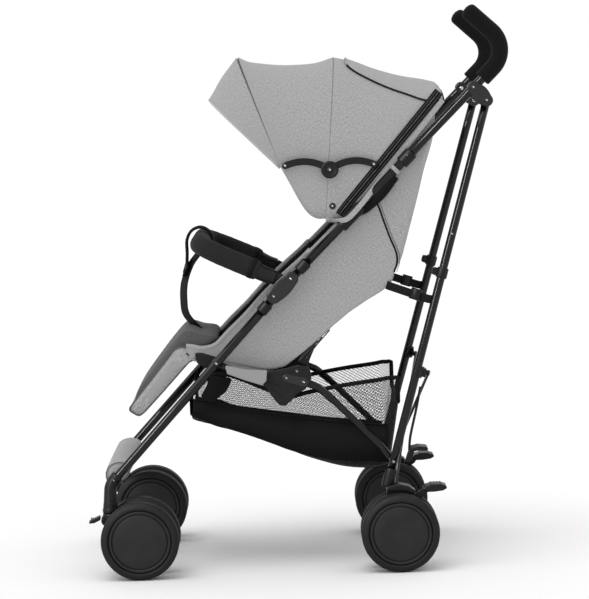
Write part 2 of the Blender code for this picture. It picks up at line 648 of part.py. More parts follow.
def make_fold_pedal():
    """Fold pedal on the left rear leg: a foot plate, its arm, and the release rod that runs up the leg."""
    rod_x = 0.181
    rod = [Vector((rod_x, y, z)) for y, z in ((0.2690, 0.2150), (0.2693, 0.2303), (0.2724, 0.2531),
                                            (0.2839, 0.3002), (0.2933, 0.3440))]
    body = sweep(round_corners(rod, [0.03, 0.08, 0.08], 2), 0.0025, 10)
    plate = block([(0.2690, 0.2270), (0.2860, 0.2310), (0.3020, 0.2290), (0.3050, 0.2250), (0.3020, 0.2215),
                   (0.2850, 0.2225), (0.2700, 0.2190)], 0.1500, 0.1900, 0.0012)
    arm = block([(0.2720, 0.2270), (0.2790, 0.2230), (0.2740, 0.2060), (0.2660, 0.1990), (0.2600, 0.2030),
                 (0.2660, 0.2200)], 0.1760, 0.1860, 0.0012)
    look = material("black_plastic", BLACK_PLASTIC, 0.45)
    add_piece("fold_pedal", join(plate, arm, body), look, Vector((rod_x, 0.2693, 0.2200)), 1)


# Canopy, drawn as arched ribs from a foot at the side to a top in the middle, all (y, z)
CANOPY_HALF_WIDTH = 0.160
CANOPY_THICKNESS = 0.0030
VISOR_FOOT = (0.042, 0.766)
FRONT_BOW_TOP = (-0.032, 0.978)
MID_BOW_FOOT = (0.1300, 0.668)
MID_BOW_TOP = (0.150, 0.972)
REAR_TOP = (0.338, 0.920)
STAY_RISE = 0.0115
STAY_HALF_WIDTH = 0.0065
STAY_FRONT = (0.050, 0.770)
STAY_MIDDLE = (0.134, 0.760)
STAY_REAR = (0.218, 0.768)
RIB_POINTS = 17
RIB_POWER = 2.8


def rib(foot, top, half_width, inset):
    """Arched rib: a superellipse from foot to foot over the top, moved inward by inset."""
    height = Vector((0.0, top[0] - foot[0], top[1] - foot[1]))
    full = height.length
    upward = height.normalized()
    points = []
    for i in range(RIB_POINTS):
        angle = math.pi * i / (RIB_POINTS - 1)
        c, s = math.cos(angle), math.sin(angle)
        x = math.copysign(abs(c) ** (2.0 / RIB_POWER), c) * (half_width - inset)
        rise = abs(s) ** (2.0 / RIB_POWER) * max(full - inset, full * 0.35)
        points.append(Vector((x, foot[0], foot[1])) + upward * rise)
    return points


def shell(outer, inner):
    """Closed sheet between two grids of points of the same size."""
    bm = bmesh.new()
    rows = [[[bm.verts.new(p) for p in row] for row in grid] for grid in (outer, inner)]
    height, width = len(outer), len(outer[0])
    for grid in rows:
        for i in range(height - 1):
            for j in range(width - 1):
                bm.faces.new((grid[i][j], grid[i][j + 1], grid[i + 1][j + 1], grid[i + 1][j]))
    rim = [(0, j) for j in range(width)] + [(i, width - 1) for i in range(1, height)]
    rim += [(height - 1, j) for j in range(width - 2, -1, -1)] + [(i, 0) for i in range(height - 2, 0, -1)]
    for (a, b), (c, d) in zip(rim, rim[1:] + rim[:1]):
        bm.faces.new((rows[0][a][b], rows[0][c][d], rows[1][c][d], rows[1][a][b]))
    bmesh.ops.recalc_face_normals(bm, faces=bm.faces)
    return bm


def canopy_panel(ribs):
    """Closed canopy panel through the given ribs, each (foot, top, half width)."""
    outer = [rib(foot, top, width, 0.0) for foot, top, width in ribs]
    inner = [rib(foot, top, width, CANOPY_THICKNESS) for foot, top, width in ribs]
    return shell(outer, inner)


def make_canopy():
    """Canopy in three panels that meet at the bows, with a small gap between neighbours."""
    look = material("light_grey_fabric", FABRIC_GREY, 0.9)
    width = CANOPY_HALF_WIDTH
    gap = 0.0015
    visor = [((0.0330, 0.7710), (-0.0950, 0.8980), width - 0.004),
             ((0.0345, 0.7745), (-0.0720, 0.9350), width - 0.003),
             ((0.0385, 0.7760), (-0.0350, 0.9760), width - 0.001)]
    add_piece("canopy_visor", canopy_panel(visor), look, Vector((0.0, *VISOR_FOOT)))
    front = [((0.0420, 0.7660), (-0.0320 + gap, 0.9780), width),
             ((0.0560, 0.7300), (-0.0010, 0.9655), width),
             ((0.0760, 0.6960), (0.0400, 0.9605), width),
             ((0.1020, 0.6720), (0.0900, 0.9595), width),
             ((0.1290 - gap, 0.6660), (0.1480 - gap, 0.9715), width)]
    add_piece("canopy_front", canopy_panel(front), look, Vector((0.0, *MID_BOW_FOOT)))
    rear = [((0.1290 + gap, 0.6690), (0.1500 + gap, 0.9715), width),
            ((0.1550, 0.6980), (0.1760, 0.9660), width),
            ((0.2020, 0.7500), (0.2250, 0.9465), width - 0.001),
            ((0.2560, 0.8100), (0.2810, 0.9290), width - 0.002),
            ((0.3080, 0.8670), (0.3200, 0.9215), width - 0.003),
            ((0.3370, 0.8990), (0.3400, 0.9160), width - 0.004)]
    add_piece("canopy_rear", canopy_panel(rear), look, Vector((0.0, *REAR_TOP)))


def arched_bar(a, b, steps=6):
    """Outline of a bar of even width between the (y, z) points a and b, arched upward, its ends round."""
    line = []
    for i in range(steps + 1):
        t = i / steps
        arch = 4.0 * STAY_RISE * t * (1.0 - t)
        line.append(Vector((a[0] + (b[0] - a[0]) * t, a[1] + (b[1] - a[1]) * t + arch)))
    upper = []
    lower = []
    for i, point in enumerate(line):
        along = (line[min(i + 1, steps)] - line[max(i - 1, 0)]).normalized()
        normal = Vector((-along.y, along.x)) * STAY_HALF_WIDTH
        upper.append(point + normal)
        lower.append(point - normal)
    start_cap = line[0] - (line[1] - line[0]).normalized() * (STAY_HALF_WIDTH * 0.75)
    end_cap = line[-1] + (line[-1] - line[-2]).normalized() * (STAY_HALF_WIDTH * 0.75)
    return [tuple(p) for p in lower + [end_cap] + upper[::-1] + [start_cap]]


def make_canopy_stays(side):
    """Two arched arms of the stay that holds the canopy open, hinged at the round boss in its middle."""
    look = material("black_plastic", BLACK_PLASTIC, 0.45)
    x = 0.1642
    rear = block(arched_bar(STAY_MIDDLE, STAY_REAR), x, x + 0.0032, 0.0)
    boss = cylinder(Vector((0.1607, *STAY_REAR)), Vector((x + 0.0050, *STAY_REAR)), 0.0048)
    pin = cylinder(Vector((x + 0.0028, *STAY_MIDDLE)), Vector((x + 0.0090, *STAY_MIDDLE)), 0.0042)
    add_piece(f"canopy_stay_rear_{SIDE_NAMES[side]}", join(rear, boss, pin), look,
              Vector((x, *STAY_REAR)), side)
    x = x + 0.0036
    front = block(arched_bar(STAY_FRONT, STAY_MIDDLE), x, x + 0.0032, 0.0)
    disc = lathe([(0.0, 0.0), (0.0165, 0.0), (0.0165, 0.0036), (0.0150, 0.0050), (0.0, 0.0052)],
                 Vector((x, *STAY_MIDDLE)), Vector((1.0, 0.0, 0.0)), 16)
    hole = cylinder(Vector((x - 0.01, *STAY_MIDDLE)), Vector((x + 0.02, *STAY_MIDDLE)), 0.0048)
    boss = cylinder(Vector((0.1612, *STAY_FRONT)), Vector((x + 0.0050, *STAY_FRONT)), 0.0048)
    add_piece(f"canopy_stay_front_{SIDE_NAMES[side]}", cut(join(front, disc, boss), hole), look,
              Vector((x, *STAY_MIDDLE)), side)


# Seat and backrest: channel sections whose outer line and wall edges follow the frame
SEAT_HALF_WIDTH = 0.1500
BACK_HALF_WIDTH = 0.1540
WALL_THICKNESS = 0.0060


def channel(outer_mid, inward, half_width, wall, pad, crown):
    """Channel section: a pad with a crowned inner face between two walls that stand along inward."""
    inner_half = half_width - WALL_THICKNESS
    corner = min(0.014, wall * 0.45)
    side_pad = min(pad + 0.004, wall - 0.001)
    quarter_pad = pad + crown * 0.75
    points = [(half_width, wall), (half_width, corner), (half_width - corner * 0.3, corner * 0.3),
              (half_width - corner, 0.0), (0.0, -0.003), (-half_width + corner, 0.0),
              (-half_width + corner * 0.3, corner * 0.3), (-half_width, corner), (-half_width, wall),
              (-inner_half, wall), (-inner_half, side_pad), (-inner_half + 0.012, pad),
              (-inner_half * 0.5, quarter_pad), (0.0, pad + crown), (inner_half * 0.5, quarter_pad),
              (inner_half - 0.012, pad), (inner_half, side_pad), (inner_half, wall)]
    return [outer_mid + Vector((x, 0.0, 0.0)) + inward * depth for x, depth in points]


def make_seat():
    """Seat with a crowned cushion, drawn down at its front edge, and side walls that climb to the tubes."""
    upward = Vector((0.0, 0.0, 1.0))
    stations = [(-0.1500, 0.4280, 0.0150, 0.012, 0.001), (-0.1400, 0.4230, 0.0260, 0.020, 0.003),
                (-0.1180, 0.4200, 0.0400, 0.022, 0.006), (-0.0930, 0.4100, 0.0500, 0.022, 0.007),
                (-0.0680, 0.3990, 0.0860, 0.022, 0.007), (-0.0340, 0.3935, 0.1230, 0.022, 0.008),
                (0.0030, 0.3975, 0.1550, 0.022, 0.008), (0.0400, 0.4005, 0.1930, 0.022, 0.006),
                (0.0740, 0.4150, 0.2200, 0.022, 0.004), (0.0930, 0.4290, 0.2180, 0.020, 0.001)]
    rings = [channel(Vector((0.0, y, z)), upward, SEAT_HALF_WIDTH, wall, pad, crown)
             for y, z, wall, pad, crown in stations]
    look = material("light_grey_fabric", FABRIC_GREY, 0.9)
    add_piece("seat", ring_solid(rings), look, Vector((0.0, *RAIL_PIVOT)))


def make_backrest():
    """Backrest with a crowned pad and side wings that reach forward to the canopy's rear edge."""
    forward = Vector((0.0, -1.0, 0.0))
    stations = [(0.4420, 0.1070, 0.0125, 0.006, 0.0), (0.4700, 0.1450, 0.0500, 0.020, 0.003),
                (0.5120, 0.2030, 0.1080, 0.022, 0.006), (0.5320, 0.2330, 0.1380, 0.022, 0.007),
                (0.5790, 0.2610, 0.1660, 0.022, 0.008), (0.6450, 0.2820, 0.1870, 0.022, 0.008),
                (0.6620, 0.2870, 0.1520, 0.022, 0.008), (0.7120, 0.3005, 0.1220, 0.022, 0.008),
                (0.7540, 0.3120, 0.0960, 0.022, 0.007), (0.8120, 0.3290, 0.0610, 0.022, 0.005),
                (0.8600, 0.3370, 0.0230, 0.016, 0.003), (0.8840, 0.3400, 0.0100, 0.006, 0.001)]
    rings = [channel(Vector((0.0, y, z)), forward, BACK_HALF_WIDTH, wall, pad, crown)
             for z, y, wall, pad, crown in stations]
    look = material("light_grey_fabric", FABRIC_GREY, 0.9)
    add_piece("backrest", ring_solid(rings), look, Vector((0.0, 0.1000, 0.4350)))


def pillow(outline, half_width, crown, steps=9):
    """Cushion of a (y, z) outline across the width, swelling by crown towards its middle line."""
    centre_y = sum(y for y, z in outline) / len(outline)
    centre_z = sum(z for y, z in outline) / len(outline)
    rings = []
    for i in range(steps):
        t = 2.0 * i / (steps - 1) - 1.0
        swell = (1.0 - abs(t) ** 2.6)
        scale = (0.80 if abs(t) > 0.999 else 1.0) + crown * swell
        x = half_width * math.copysign(abs(t) ** 0.8, t)
        rings.append([Vector((x, centre_y + (y - centre_y) * scale, centre_z + (z - centre_z) * scale))
                      for y, z in outline])
    return ring_solid(rings)


def make_calf_rest():
    """Padded calf rest that hangs forward and down from the seat's front edge."""
    outline = [(-0.1530, 0.4210), (-0.1660, 0.4200), (-0.1850, 0.4030), (-0.2180, 0.3680), (-0.2600, 0.3230),
               (-0.2590, 0.3140), (-0.2500, 0.3070), (-0.2390, 0.3070), (-0.2130, 0.3290), (-0.1780, 0.3660),
               (-0.1500, 0.3980), (-0.1480, 0.4120)]
    look = material("light_grey_fabric", FABRIC_GREY, 0.9)
    add_piece("calf_rest", pillow(outline, 0.148, 0.02), look, Vector((0.0, -0.1500, 0.4150)))


def make_foot_strap():
    """Soft strap across the feet of the front legs, a sagging sleeve of cloth."""
    outline = [(-0.3180, 0.1960), (-0.3100, 0.2140), (-0.2900, 0.2225), (-0.2700, 0.2220), (-0.2560, 0.2130),
               (-0.2600, 0.1950), (-0.2720, 0.1780), (-0.2900, 0.1690), (-0.3060, 0.1680), (-0.3170, 0.1790)]
    look = material("light_grey_fabric", FABRIC_GREY, 0.9)
    add_piece("foot_strap", pillow(outline, 0.174, 0.01, 7), look, Vector((0.0, -0.2850, 0.1960)))


BUMPER_R = 0.0190
BUMPER_FRONT = (-0.1180, 0.6400)


def make_bumper_bar():
    """Foam-covered bumper bar between the two sockets on the push tubes, with plastic ends."""
    end = side_point(0.0215, 0.5769)
    foam_end = Vector((0.1740, -0.0060, 0.5850))
    knee = Vector((0.1680, BUMPER_FRONT[0] + 0.004, BUMPER_FRONT[1]))
    half = [foam_end, knee, Vector((0.0, *BUMPER_FRONT))]
    bend = round_corners(half, [0.072], 5)
    path = bend + [Vector((-p.x, p.y, p.z)) for p in reversed(bend[:-1])]
    radii = [BUMPER_R * 0.93] + [BUMPER_R] * (len(path) - 2) + [BUMPER_R * 0.93]
    bar = sweep(path, radii, 12, up=Vector((0.0, 0.3, 1.0)))
    for sign in (1, -1):
        outer = Vector((end.x * sign, end.y, end.z))
        inner = Vector(((foam_end.x - 0.001) * sign, foam_end.y - 0.012, foam_end.z + 0.006))
        bar = join(bar, sweep([outer, inner], [0.0105, 0.0135], 10))
    look = material("black_foam", FOAM_BLACK, 0.85)
    add_piece("bumper_bar", bar, look, end)


def make_crotch_strap():
    """Webbing looped round the middle of the bumper bar and down to the seat's front edge."""
    centre = Vector((0.0, *BUMPER_FRONT))
    loop = []
    for i in range(11):
        angle = math.radians(-30.0 + 21.0 * i)
        loop.append(centre + Vector((0.0, math.cos(angle), math.sin(angle))) * (BUMPER_R + 0.0030))
    fall = [Vector((0.0, y, z)) for y, z in ((-0.1470, 0.6050), (-0.1490, 0.5820), (-0.1600, 0.5650),
                                           (-0.1625, 0.5200), (-0.1560, 0.4850), (-0.1420, 0.4620))]
    look = material("black_webbing", WEBBING_BLACK, 0.8)
    add_piece("crotch_strap", band(loop + fall, 0.026, 0.0026), look, centre)


def make_harness():
    """Two shoulder straps from the backrest to a buckle over the seat."""
    buckle_at = Vector((0.0, 0.0500, 0.4650))
    profile = [(0.0, 0.0), (0.0210, 0.0), (0.0230, 0.0030), (0.0230, 0.0100), (0.0200, 0.0140), (0.0, 0.0150)]
    buckle = lathe(profile, buckle_at, Vector((0.0, -0.5, 1.0)))
    parts = []
    for sign in (1, -1):
        path = [Vector((0.055 * sign, 0.2640, 0.7300)), Vector((0.052 * sign, 0.2000, 0.6200)),
                Vector((0.034 * sign, 0.1000, 0.5050)), Vector((0.010 * sign, 0.0480, 0.4720))]
        parts.append(band(path, 0.030, 0.0040))
    look = material("black_webbing", WEBBING_BLACK, 0.8)
    add_piece("harness", join(buckle, *parts), look, buckle_at)


BASKET_HALF_WIDTH = 0.1440
BASKET_WALL = 0.0030


def make_basket():
    """Mesh basket as an open tub: a rounded bottom rising to the front rim and to a steep rear panel."""
    stations = [(-0.1640, 0.3020, 0.3200), (-0.1520, 0.2950, 0.3520), (-0.1340, 0.2900, 0.3770),
                (-0.0830, 0.2770, 0.3800), (-0.0020, 0.2440, 0.3450), (0.0350, 0.2280, 0.3270),
                (0.0830, 0.2080, 0.3360), (0.1500, 0.1890, 0.3470), (0.2150, 0.1860, 0.3550),
                (0.2320, 0.2000, 0.3580), (0.2410, 0.2450, 0.3580), (0.2520, 0.3100, 0.3590)]
    cross = [(1.0, 1.0), (0.998, 0.40), (0.970, 0.08), (0.86, 0.0), (0.0, -0.020)]
    cross += [(-across, height) for across, height in reversed(cross[:-1])]
    grids = []
    for inset in (0.0, BASKET_WALL):
        grid = []
        for y, bottom, rim in stations:
            row = []
            for across, height in cross:
                floor = bottom + (inset if height < 0.3 else 0.0)
                z = floor + (rim - floor) * max(height, 0.0) + min(height, 0.0) * 0.2
                row.append(Vector((across * (BASKET_HALF_WIDTH - inset), y, z)))
            grid.append(row)
        grids.append(grid)
    look = material("mesh_grey", MESH_GREY, 0.8)
    add_piece("basket", shell(*grids), look, Vector((0.0, -0.0830, 0.3770)))


def main():
    """Clear the scene, then build every piece."""
    for old in list(bpy.data.objects):
        bpy.data.objects.remove(old)
    centre = bpy.data.objects.new("buggy_centre", None)
    centre.location = (0.0, -CENTRE_SHIFT, 0.0)
    bpy.context.scene.collection.objects.link(centre)
    for side in (1, -1):
        make_push_tube(side)
        make_grip(side)
        make_upper_plate(side)
        make_mid_plate(side)
        make_front_leg(side)
        make_castor_housing(side)
        make_castor(side)
        make_swivel_lever(side)
        make_wheels(side)
        make_rear_leg(side)
        make_rear_foot(side)
        make_brake_pedal(side)
        make_seat_rail(side)
        make_side_joint(side)
        make_rear_link(side)
        make_slider(side)
        make_cross_bar(side)
        make_canopy_stays(side)
    make_fold_pedal()
    make_canopy()
    make_seat()
    make_backrest()
    make_calf_rest()
    make_foot_strap()
    make_bumper_bar()
    make_crotch_strap()
    make_harness()
    make_basket()


main()
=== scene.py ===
"""Umbrella-fold pushchair: its finishes and soft pieces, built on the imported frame."""

import logging
import math
from dataclasses import dataclass, field, replace
from enum import Enum

import bmesh
import bpy
import numpy as np
from mathutils import Matrix, Vector


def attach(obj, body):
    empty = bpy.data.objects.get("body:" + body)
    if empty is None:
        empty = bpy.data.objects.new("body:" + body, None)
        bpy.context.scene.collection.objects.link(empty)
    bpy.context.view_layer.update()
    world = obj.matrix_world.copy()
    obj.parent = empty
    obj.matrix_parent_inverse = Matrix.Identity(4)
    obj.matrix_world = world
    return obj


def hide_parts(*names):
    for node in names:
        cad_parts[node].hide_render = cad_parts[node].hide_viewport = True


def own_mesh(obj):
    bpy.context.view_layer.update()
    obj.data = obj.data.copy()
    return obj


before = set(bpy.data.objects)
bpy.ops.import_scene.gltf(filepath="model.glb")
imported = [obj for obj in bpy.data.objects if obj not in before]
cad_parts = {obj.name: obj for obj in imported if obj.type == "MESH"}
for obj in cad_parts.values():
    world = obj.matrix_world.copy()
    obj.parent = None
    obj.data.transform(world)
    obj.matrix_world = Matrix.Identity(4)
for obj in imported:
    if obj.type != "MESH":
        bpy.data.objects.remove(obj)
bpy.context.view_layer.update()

logging.basicConfig(level=logging.INFO, format="%(message)s")
LOG = logging.getLogger("buggy")

Array = np.ndarray
Piece = bpy.types.Object
Node = bpy.types.Node
Socket = bpy.types.NodeSocket


class Side(Enum):
    """The two sides of the frame, with the sign of their X."""

    LEFT = 1.0
    RIGHT = -1.0

    @property
    def tag(self) -> str:
        """Name of the side as the nodes and bodies write it."""
        return "left" if self is Side.LEFT else "right"

    @property
    def opposite(self) -> "Side":
        """The other side."""
        return Side.RIGHT if self is Side.LEFT else Side.LEFT


class Closing(Enum):
    """Which directions of a grid of points join up with themselves."""

    OPEN = 0
    AROUND = 1
    BOTH = 2


@dataclass(frozen=True)
class Layout:
    """Driving dimensions of the frame, in metres, in drawing coordinates.

    Drawing coordinates have y = 0 in the middle between the axles. Each side of the frame is a plane
    that leans outward towards the floor.
    """

    side_x: float = 0.16
    side_z: float = 0.906
    lean: float = 0.0465
    tube_r: float = 0.0085
    leg_r: float = 0.008
    link_r: float = 0.0065
    grip_r: float = 0.0162
    wheel_r: float = 0.074
    leg_top: tuple[float, float] = (0.4337, 0.881)
    leg_foot: tuple[float, float] = (0.2379, 0.2041)
    tube_pin: tuple[float, float] = (0.4093, 0.9063)
    rail_pivot: tuple[float, float] = (-0.092, 0.4004)
    link_top: tuple[float, float] = (0.0726, 0.3592)
    rivet_up: tuple[float, float] = (0.054, 0.5563)
    rivet_down: tuple[float, float] = (0.0208, 0.5243)
    shift: float = -0.06735

    @property
    def normal(self) -> Array:
        """Outward unit normal of the left side plane."""
        normal = np.array([1.0, 0.0, self.lean])
        return normal / np.linalg.norm(normal)

    def on_side(self, yz: Array | list, w: float = 0.0) -> Array:
        """World points on the left side plane.

        Args:
            yz: drawing coordinates (y, z), one row each.
            w: distance outward from the tubes' centre plane.

        Returns:
            Points as rows of x, y, z.
        """
        yz = np.atleast_2d(np.asarray(yz, float))
        x = self.side_x + self.lean * (self.side_z - yz[:, 1])
        points = np.column_stack([x, yz[:, 0] + self.shift, yz[:, 1]])
        return points + self.normal * w

    def at(self, x: float | Array, yz: Array | list) -> Array:
        """World points at a chosen x from drawing coordinates (y, z)."""
        yz = np.atleast_2d(np.asarray(yz, float))
        return np.column_stack([np.broadcast_to(x, len(yz)), yz[:, 0] + self.shift, yz[:, 1]])

    def spot(self, yz: tuple[float, float] | Array, w: float = 0.0) -> Array:
        """One world point on the left side plane, moved outward by w."""
        return self.on_side([yz], w)[0]

    def spot_at(self, x: float, yz: tuple[float, float]) -> Array:
        """One world point at a chosen x."""
        return self.at(x, [yz])[0]

    def leg_yz(self, s: float, back: float = 0.0) -> Array:
        """Drawing (y, z) of the point at distance s up a rear leg, moved rearward."""
        up = unit(np.subtract(self.leg_top, self.leg_foot))
        return np.asarray(self.leg_foot) + up * s + np.array([up[1], -up[0]]) * back

    def along_leg(self, s: float, back: float = 0.0, w: float = 0.0) -> Array:
        """World point at distance s up the left rear leg, moved rearward and outward."""
        return self.spot(self.leg_yz(s, back), w)


LAYOUT = Layout()
ACROSS = (1.0, 0.0, 0.0)

# Power of the canopy's arches, and the height of the net's rows over their pitch
ARCH_POWER = 2.8
ROW_RATIO = 0.866

# How far behind the rear leg each side's cross bar lies
BAR_LAYERS = {Side.LEFT: 0.0165, Side.RIGHT: 0.0235}

# Cushions: edge of the rebuilt mesh, pressure inside, furthest move of a point, frames
PUFF_VOXEL = 0.005
PUFF_PRESSURE = 3.5
PUFF_CAP = 0.006
PUFF_FRAMES = 16


# Surfaces as whole arrays


def catmull_rom(knots: list[Array], t: Array) -> Array:
    """Point of the cubic between the middle two of four knots, where t goes from 0 to 1.

    Its slope at each middle knot is half the chord between that knot's neighbours.

    Args:
        knots: the four knots.
        t: how far along the middle stretch.

    Returns:
        The point, or an array of them.
    """
    a, b, c, d = knots
    square = 2 * a - 5 * b + 4 * c - d
    cube = 3 * b - a - 3 * c + d
    return 0.5 * (2 * b + (c - a) * t + square * t ** 2 + cube * t ** 3)


def padded_knots(knots: Array) -> Array:
    """Knots with one more at each end, on the straight line of the last two."""
    return np.vstack([2 * knots[0] - knots[1], knots, 2 * knots[-1] - knots[-2]])


def smooth_path(points: Array, count: int) -> Array:
    """Samples of a Catmull-Rom curve through the points, spaced evenly by length.

    Args:
        points: the points that the curve passes, one row each.
        count: how many samples to return.

    Returns:
        The samples, one row each.
    """
    points = np.asarray(points, float)
    padded = padded_knots(points)
    t = np.linspace(0.0, 1.0, 24, endpoint=False)[None, :, None]
    curve = catmull_rom([padded[i:len(padded) - 3 + i, None, :] for i in range(4)], t)
    curve = np.vstack([curve.reshape(-1, points.shape[1]), points[-1:]])
    length = np.concatenate([[0.0], np.cumsum(np.linalg.norm(np.diff(curve, axis=0), axis=1))])
    even = np.linspace(0.0, length[-1], count)
    return np.column_stack([np.interp(even, length, curve[:, i]) for i in range(points.shape[1])])


def arc_path(points: Array, radius: float, steps: int = 8) -> Array:
    """Polyline whose inner corners are arcs of one radius.

    The arc's ends lie radius times tan(turn / 2) before and after the corner, and its points turn
    evenly about its centre.

    Args:
        points: corners of the polyline, one row each.
        radius: radius of the arcs.
        steps: points on each arc, less one.

    Returns:
        Points of the rounded line, one row each.
    """
    points = [np.asarray(p, float) for p in points]
    path = [points[0]]
    for before, corner, after in zip(points, points[1:], points[2:]):
        into = (corner - before) / np.linalg.norm(corner - before)
        out = (after - corner) / np.linalg.norm(after - corner)
        turn = math.acos(float(np.clip(into @ out, -1.0, 1.0)))
        if turn < 0.02:
            path.append(corner)
            continue
        reach = radius * math.tan(turn / 2.0)
        inward = (out - into) / np.linalg.norm(out - into)
        centre = corner + inward * radius / math.cos(turn / 2.0)
        start = corner - into * reach - centre
        angles = np.linspace(0.0, turn, steps + 1)[:, None]
        path.extend(centre + start * np.cos(angles) + into * radius * np.sin(angles))
    path.append(points[-1])
    return np.array(path)


def unit(rows: Array) -> Array:
    """Rows scaled to length one."""
    return rows / np.linalg.norm(rows, axis=-1, keepdims=True)


def path_frames(path: Array, reference: Array) -> tuple[Array, Array, Array]:
    """Tangent and two cross directions at each point of a path.

    Args:
        path: points, one row each.
        reference: a direction that the path never runs along.

    Returns:
        Tangents, first cross directions (nearest to the reference) and second ones.
    """
    step = unit(np.diff(path, axis=0))
    tangent = unit(np.vstack([step[:1], step[1:] + step[:-1], step[-1:]]))
    reference = np.broadcast_to(np.asarray(reference, float), path.shape)
    first = unit(reference - tangent * np.sum(reference * tangent, axis=1, keepdims=True))
    return tangent, first, np.cross(tangent, first)


def tube_grid(path: Array, radius: float | Array, sides: int = 32, reference: tuple = ACROSS,
              flat: float = 1.0) -> Array:
    """Rings around a path: point plus radius times (cos a * flat * first + sin a * second).

    Args:
        path: points, one row each.
        radius: one value, or one for each point.
        sides: points on each ring.
        reference: a direction that the path never runs along.
        flat: factor on the radius along the reference.

    Returns:
        Grid of points, path by ring.
    """
    _, first, second = path_frames(path, np.array(reference))
    angles = np.linspace(0.0, 2.0 * np.pi, sides, endpoint=False)[None, :, None]
    radii = np.broadcast_to(np.asarray(radius, float), len(path))[:, None, None]
    ring = np.cos(angles) * first[:, None, :] * flat + np.sin(angles) * second[:, None, :]
    return path[:, None, :] + radii * ring


def lathe_grid(profile: Array, centre: Array, axis: Array, segments: int = 64) -> Array:
    """Turned surface: centre plus height along the axis plus radius around it.

    Args:
        profile: rows of radius and height.
        centre: a point on the axis where the height is zero.
        axis: direction of the axis.
        segments: points on each ring.

    Returns:
        Grid of points, profile by ring.
    """
    axis = unit(np.asarray(axis, float))
    first = unit(np.cross(axis, (0.0, 0.0, 1.0) if abs(axis[2]) < 0.9 else (1.0, 0.0, 0.0)))
    second = np.cross(axis, first)
    profile = np.asarray(profile, float)
    angles = np.linspace(0.0, 2.0 * np.pi, segments, endpoint=False)[None, :, None]
    around = np.cos(angles) * first + np.sin(angles) * second
    return np.asarray(centre, float) + profile[:, 1, None, None] * axis + profile[:, 0, None, None] * around


def grid_faces(rows: int, columns: int, closing: Closing) -> Array:
    """Quads of a grid whose points are numbered row by row.

    Args:
        rows: number of rows.
        columns: points in each row.
        closing: which directions join up.

    Returns:
        Four point numbers for each quad.
    """
    row_count = rows if closing is Closing.BOTH else rows - 1
    column_count = columns if closing is not Closing.OPEN else columns - 1
    i, j = np.meshgrid(np.arange(row_count), np.arange(column_count), indexing="ij")
    i2, j2 = (i + 1) % rows, (j + 1) % columns
    return np.stack([i * columns + j, i * columns + j2, i2 * columns + j2, i2 * columns + j],
                    -1).reshape(-1, 4)


def mesh_object(name: str, points: Array, faces: list, smooth: bool = True) -> Piece:
    """Object at the origin from points and faces.

    Args:
        name: name of the object.
        points: world points, one row each.
        faces: lists of point numbers.
        smooth: whether the faces are shaded smooth.

    Returns:
        The new object, linked to the scene.
    """
    mesh = bpy.data.meshes.new(name)
    mesh.from_pydata(points.reshape(-1, 3).tolist(), [], faces)
    mesh.polygons.foreach_set("use_smooth", np.full(len(mesh.polygons), smooth))
    mesh.update()
    made = bpy.data.objects.new(name, mesh)
    bpy.context.scene.collection.objects.link(made)
    return made


def fix_normals(piece: Piece) -> None:
    """Merge doubles and turn all faces of a closed piece outward."""
    bm = bmesh.new()
    bm.from_mesh(piece.data)
    bmesh.ops.remove_doubles(bm, verts=bm.verts, dist=1e-6)
    bmesh.ops.recalc_face_normals(bm, faces=bm.faces)
    bm.to_mesh(piece.data)
    bm.free()


def grid_object(name: str, grid: Array, closing: Closing, caps: bool = False,
                folded: bool = False) -> Piece:
    """Object from a grid of points, with its own UV map in metres along the grid.

    Args:
        name: name of the object.
        grid: points, rows by columns by 3.
        closing: which directions join up.
        caps: whether the first and last row are closed.
        folded: whether each row runs over a sheet and back under it, so both sides share the map.

    Returns:
        The new object.
    """
    rows, columns = grid.shape[:2]
    faces = grid_faces(rows, columns, closing).tolist()
    if caps and folded:
        j = np.arange(columns // 2 - 1)
        rim = np.stack([j, columns - 1 - j, columns - 2 - j, j + 1], -1)
        faces += rim.tolist() + (rim[:, ::-1] + (rows - 1) * columns).tolist()
    elif caps:
        faces.append(list(range(columns))[::-1])
        faces.append([(rows - 1) * columns + j for j in range(columns)])
    piece = mesh_object(name, grid, faces)
    along = np.concatenate([[0.0], np.cumsum(np.linalg.norm(np.diff(grid.mean(axis=1), axis=0), axis=1))])
    widths = np.linalg.norm(np.diff(grid, axis=1), axis=2).mean(axis=0)
    over = np.concatenate([[0.0], np.cumsum(widths)])
    if folded:
        over[columns // 2:] = over[:columns // 2][::-1]
    uv = np.stack(np.meshgrid(along, over, indexing="ij"), -1).reshape(-1, 2)
    corner = np.empty(len(piece.data.loops), dtype=np.int32)
    piece.data.loops.foreach_get("vertex_index", corner)
    layer = piece.data.uv_layers.new(name="cloth")
    layer.data.foreach_set("uv", uv[corner].ravel())
    fix_normals(piece)
    return piece


def mirrored(points: Array, side: Side) -> Array:
    """Points of the left side, or their mirror image for the right side."""
    return points * np.array([side.value, 1.0, 1.0])


def tube_object(name: str, path: Array, radius: float | Array, sides: int = 32, reference: tuple = ACROSS,
                flat: float = 1.0) -> Piece:
    """Capped tube along a path of world points."""
    return grid_object(name, tube_grid(path, radius, sides, reference, flat), Closing.AROUND, caps=True)


def lathe_object(name: str, profile: list, centre: Array, axis: tuple, segments: int = 64) -> Piece:
    """Capped turned piece around a world point."""
    return grid_object(name, lathe_grid(np.array(profile), centre, axis, segments), Closing.AROUND,
                       caps=True)


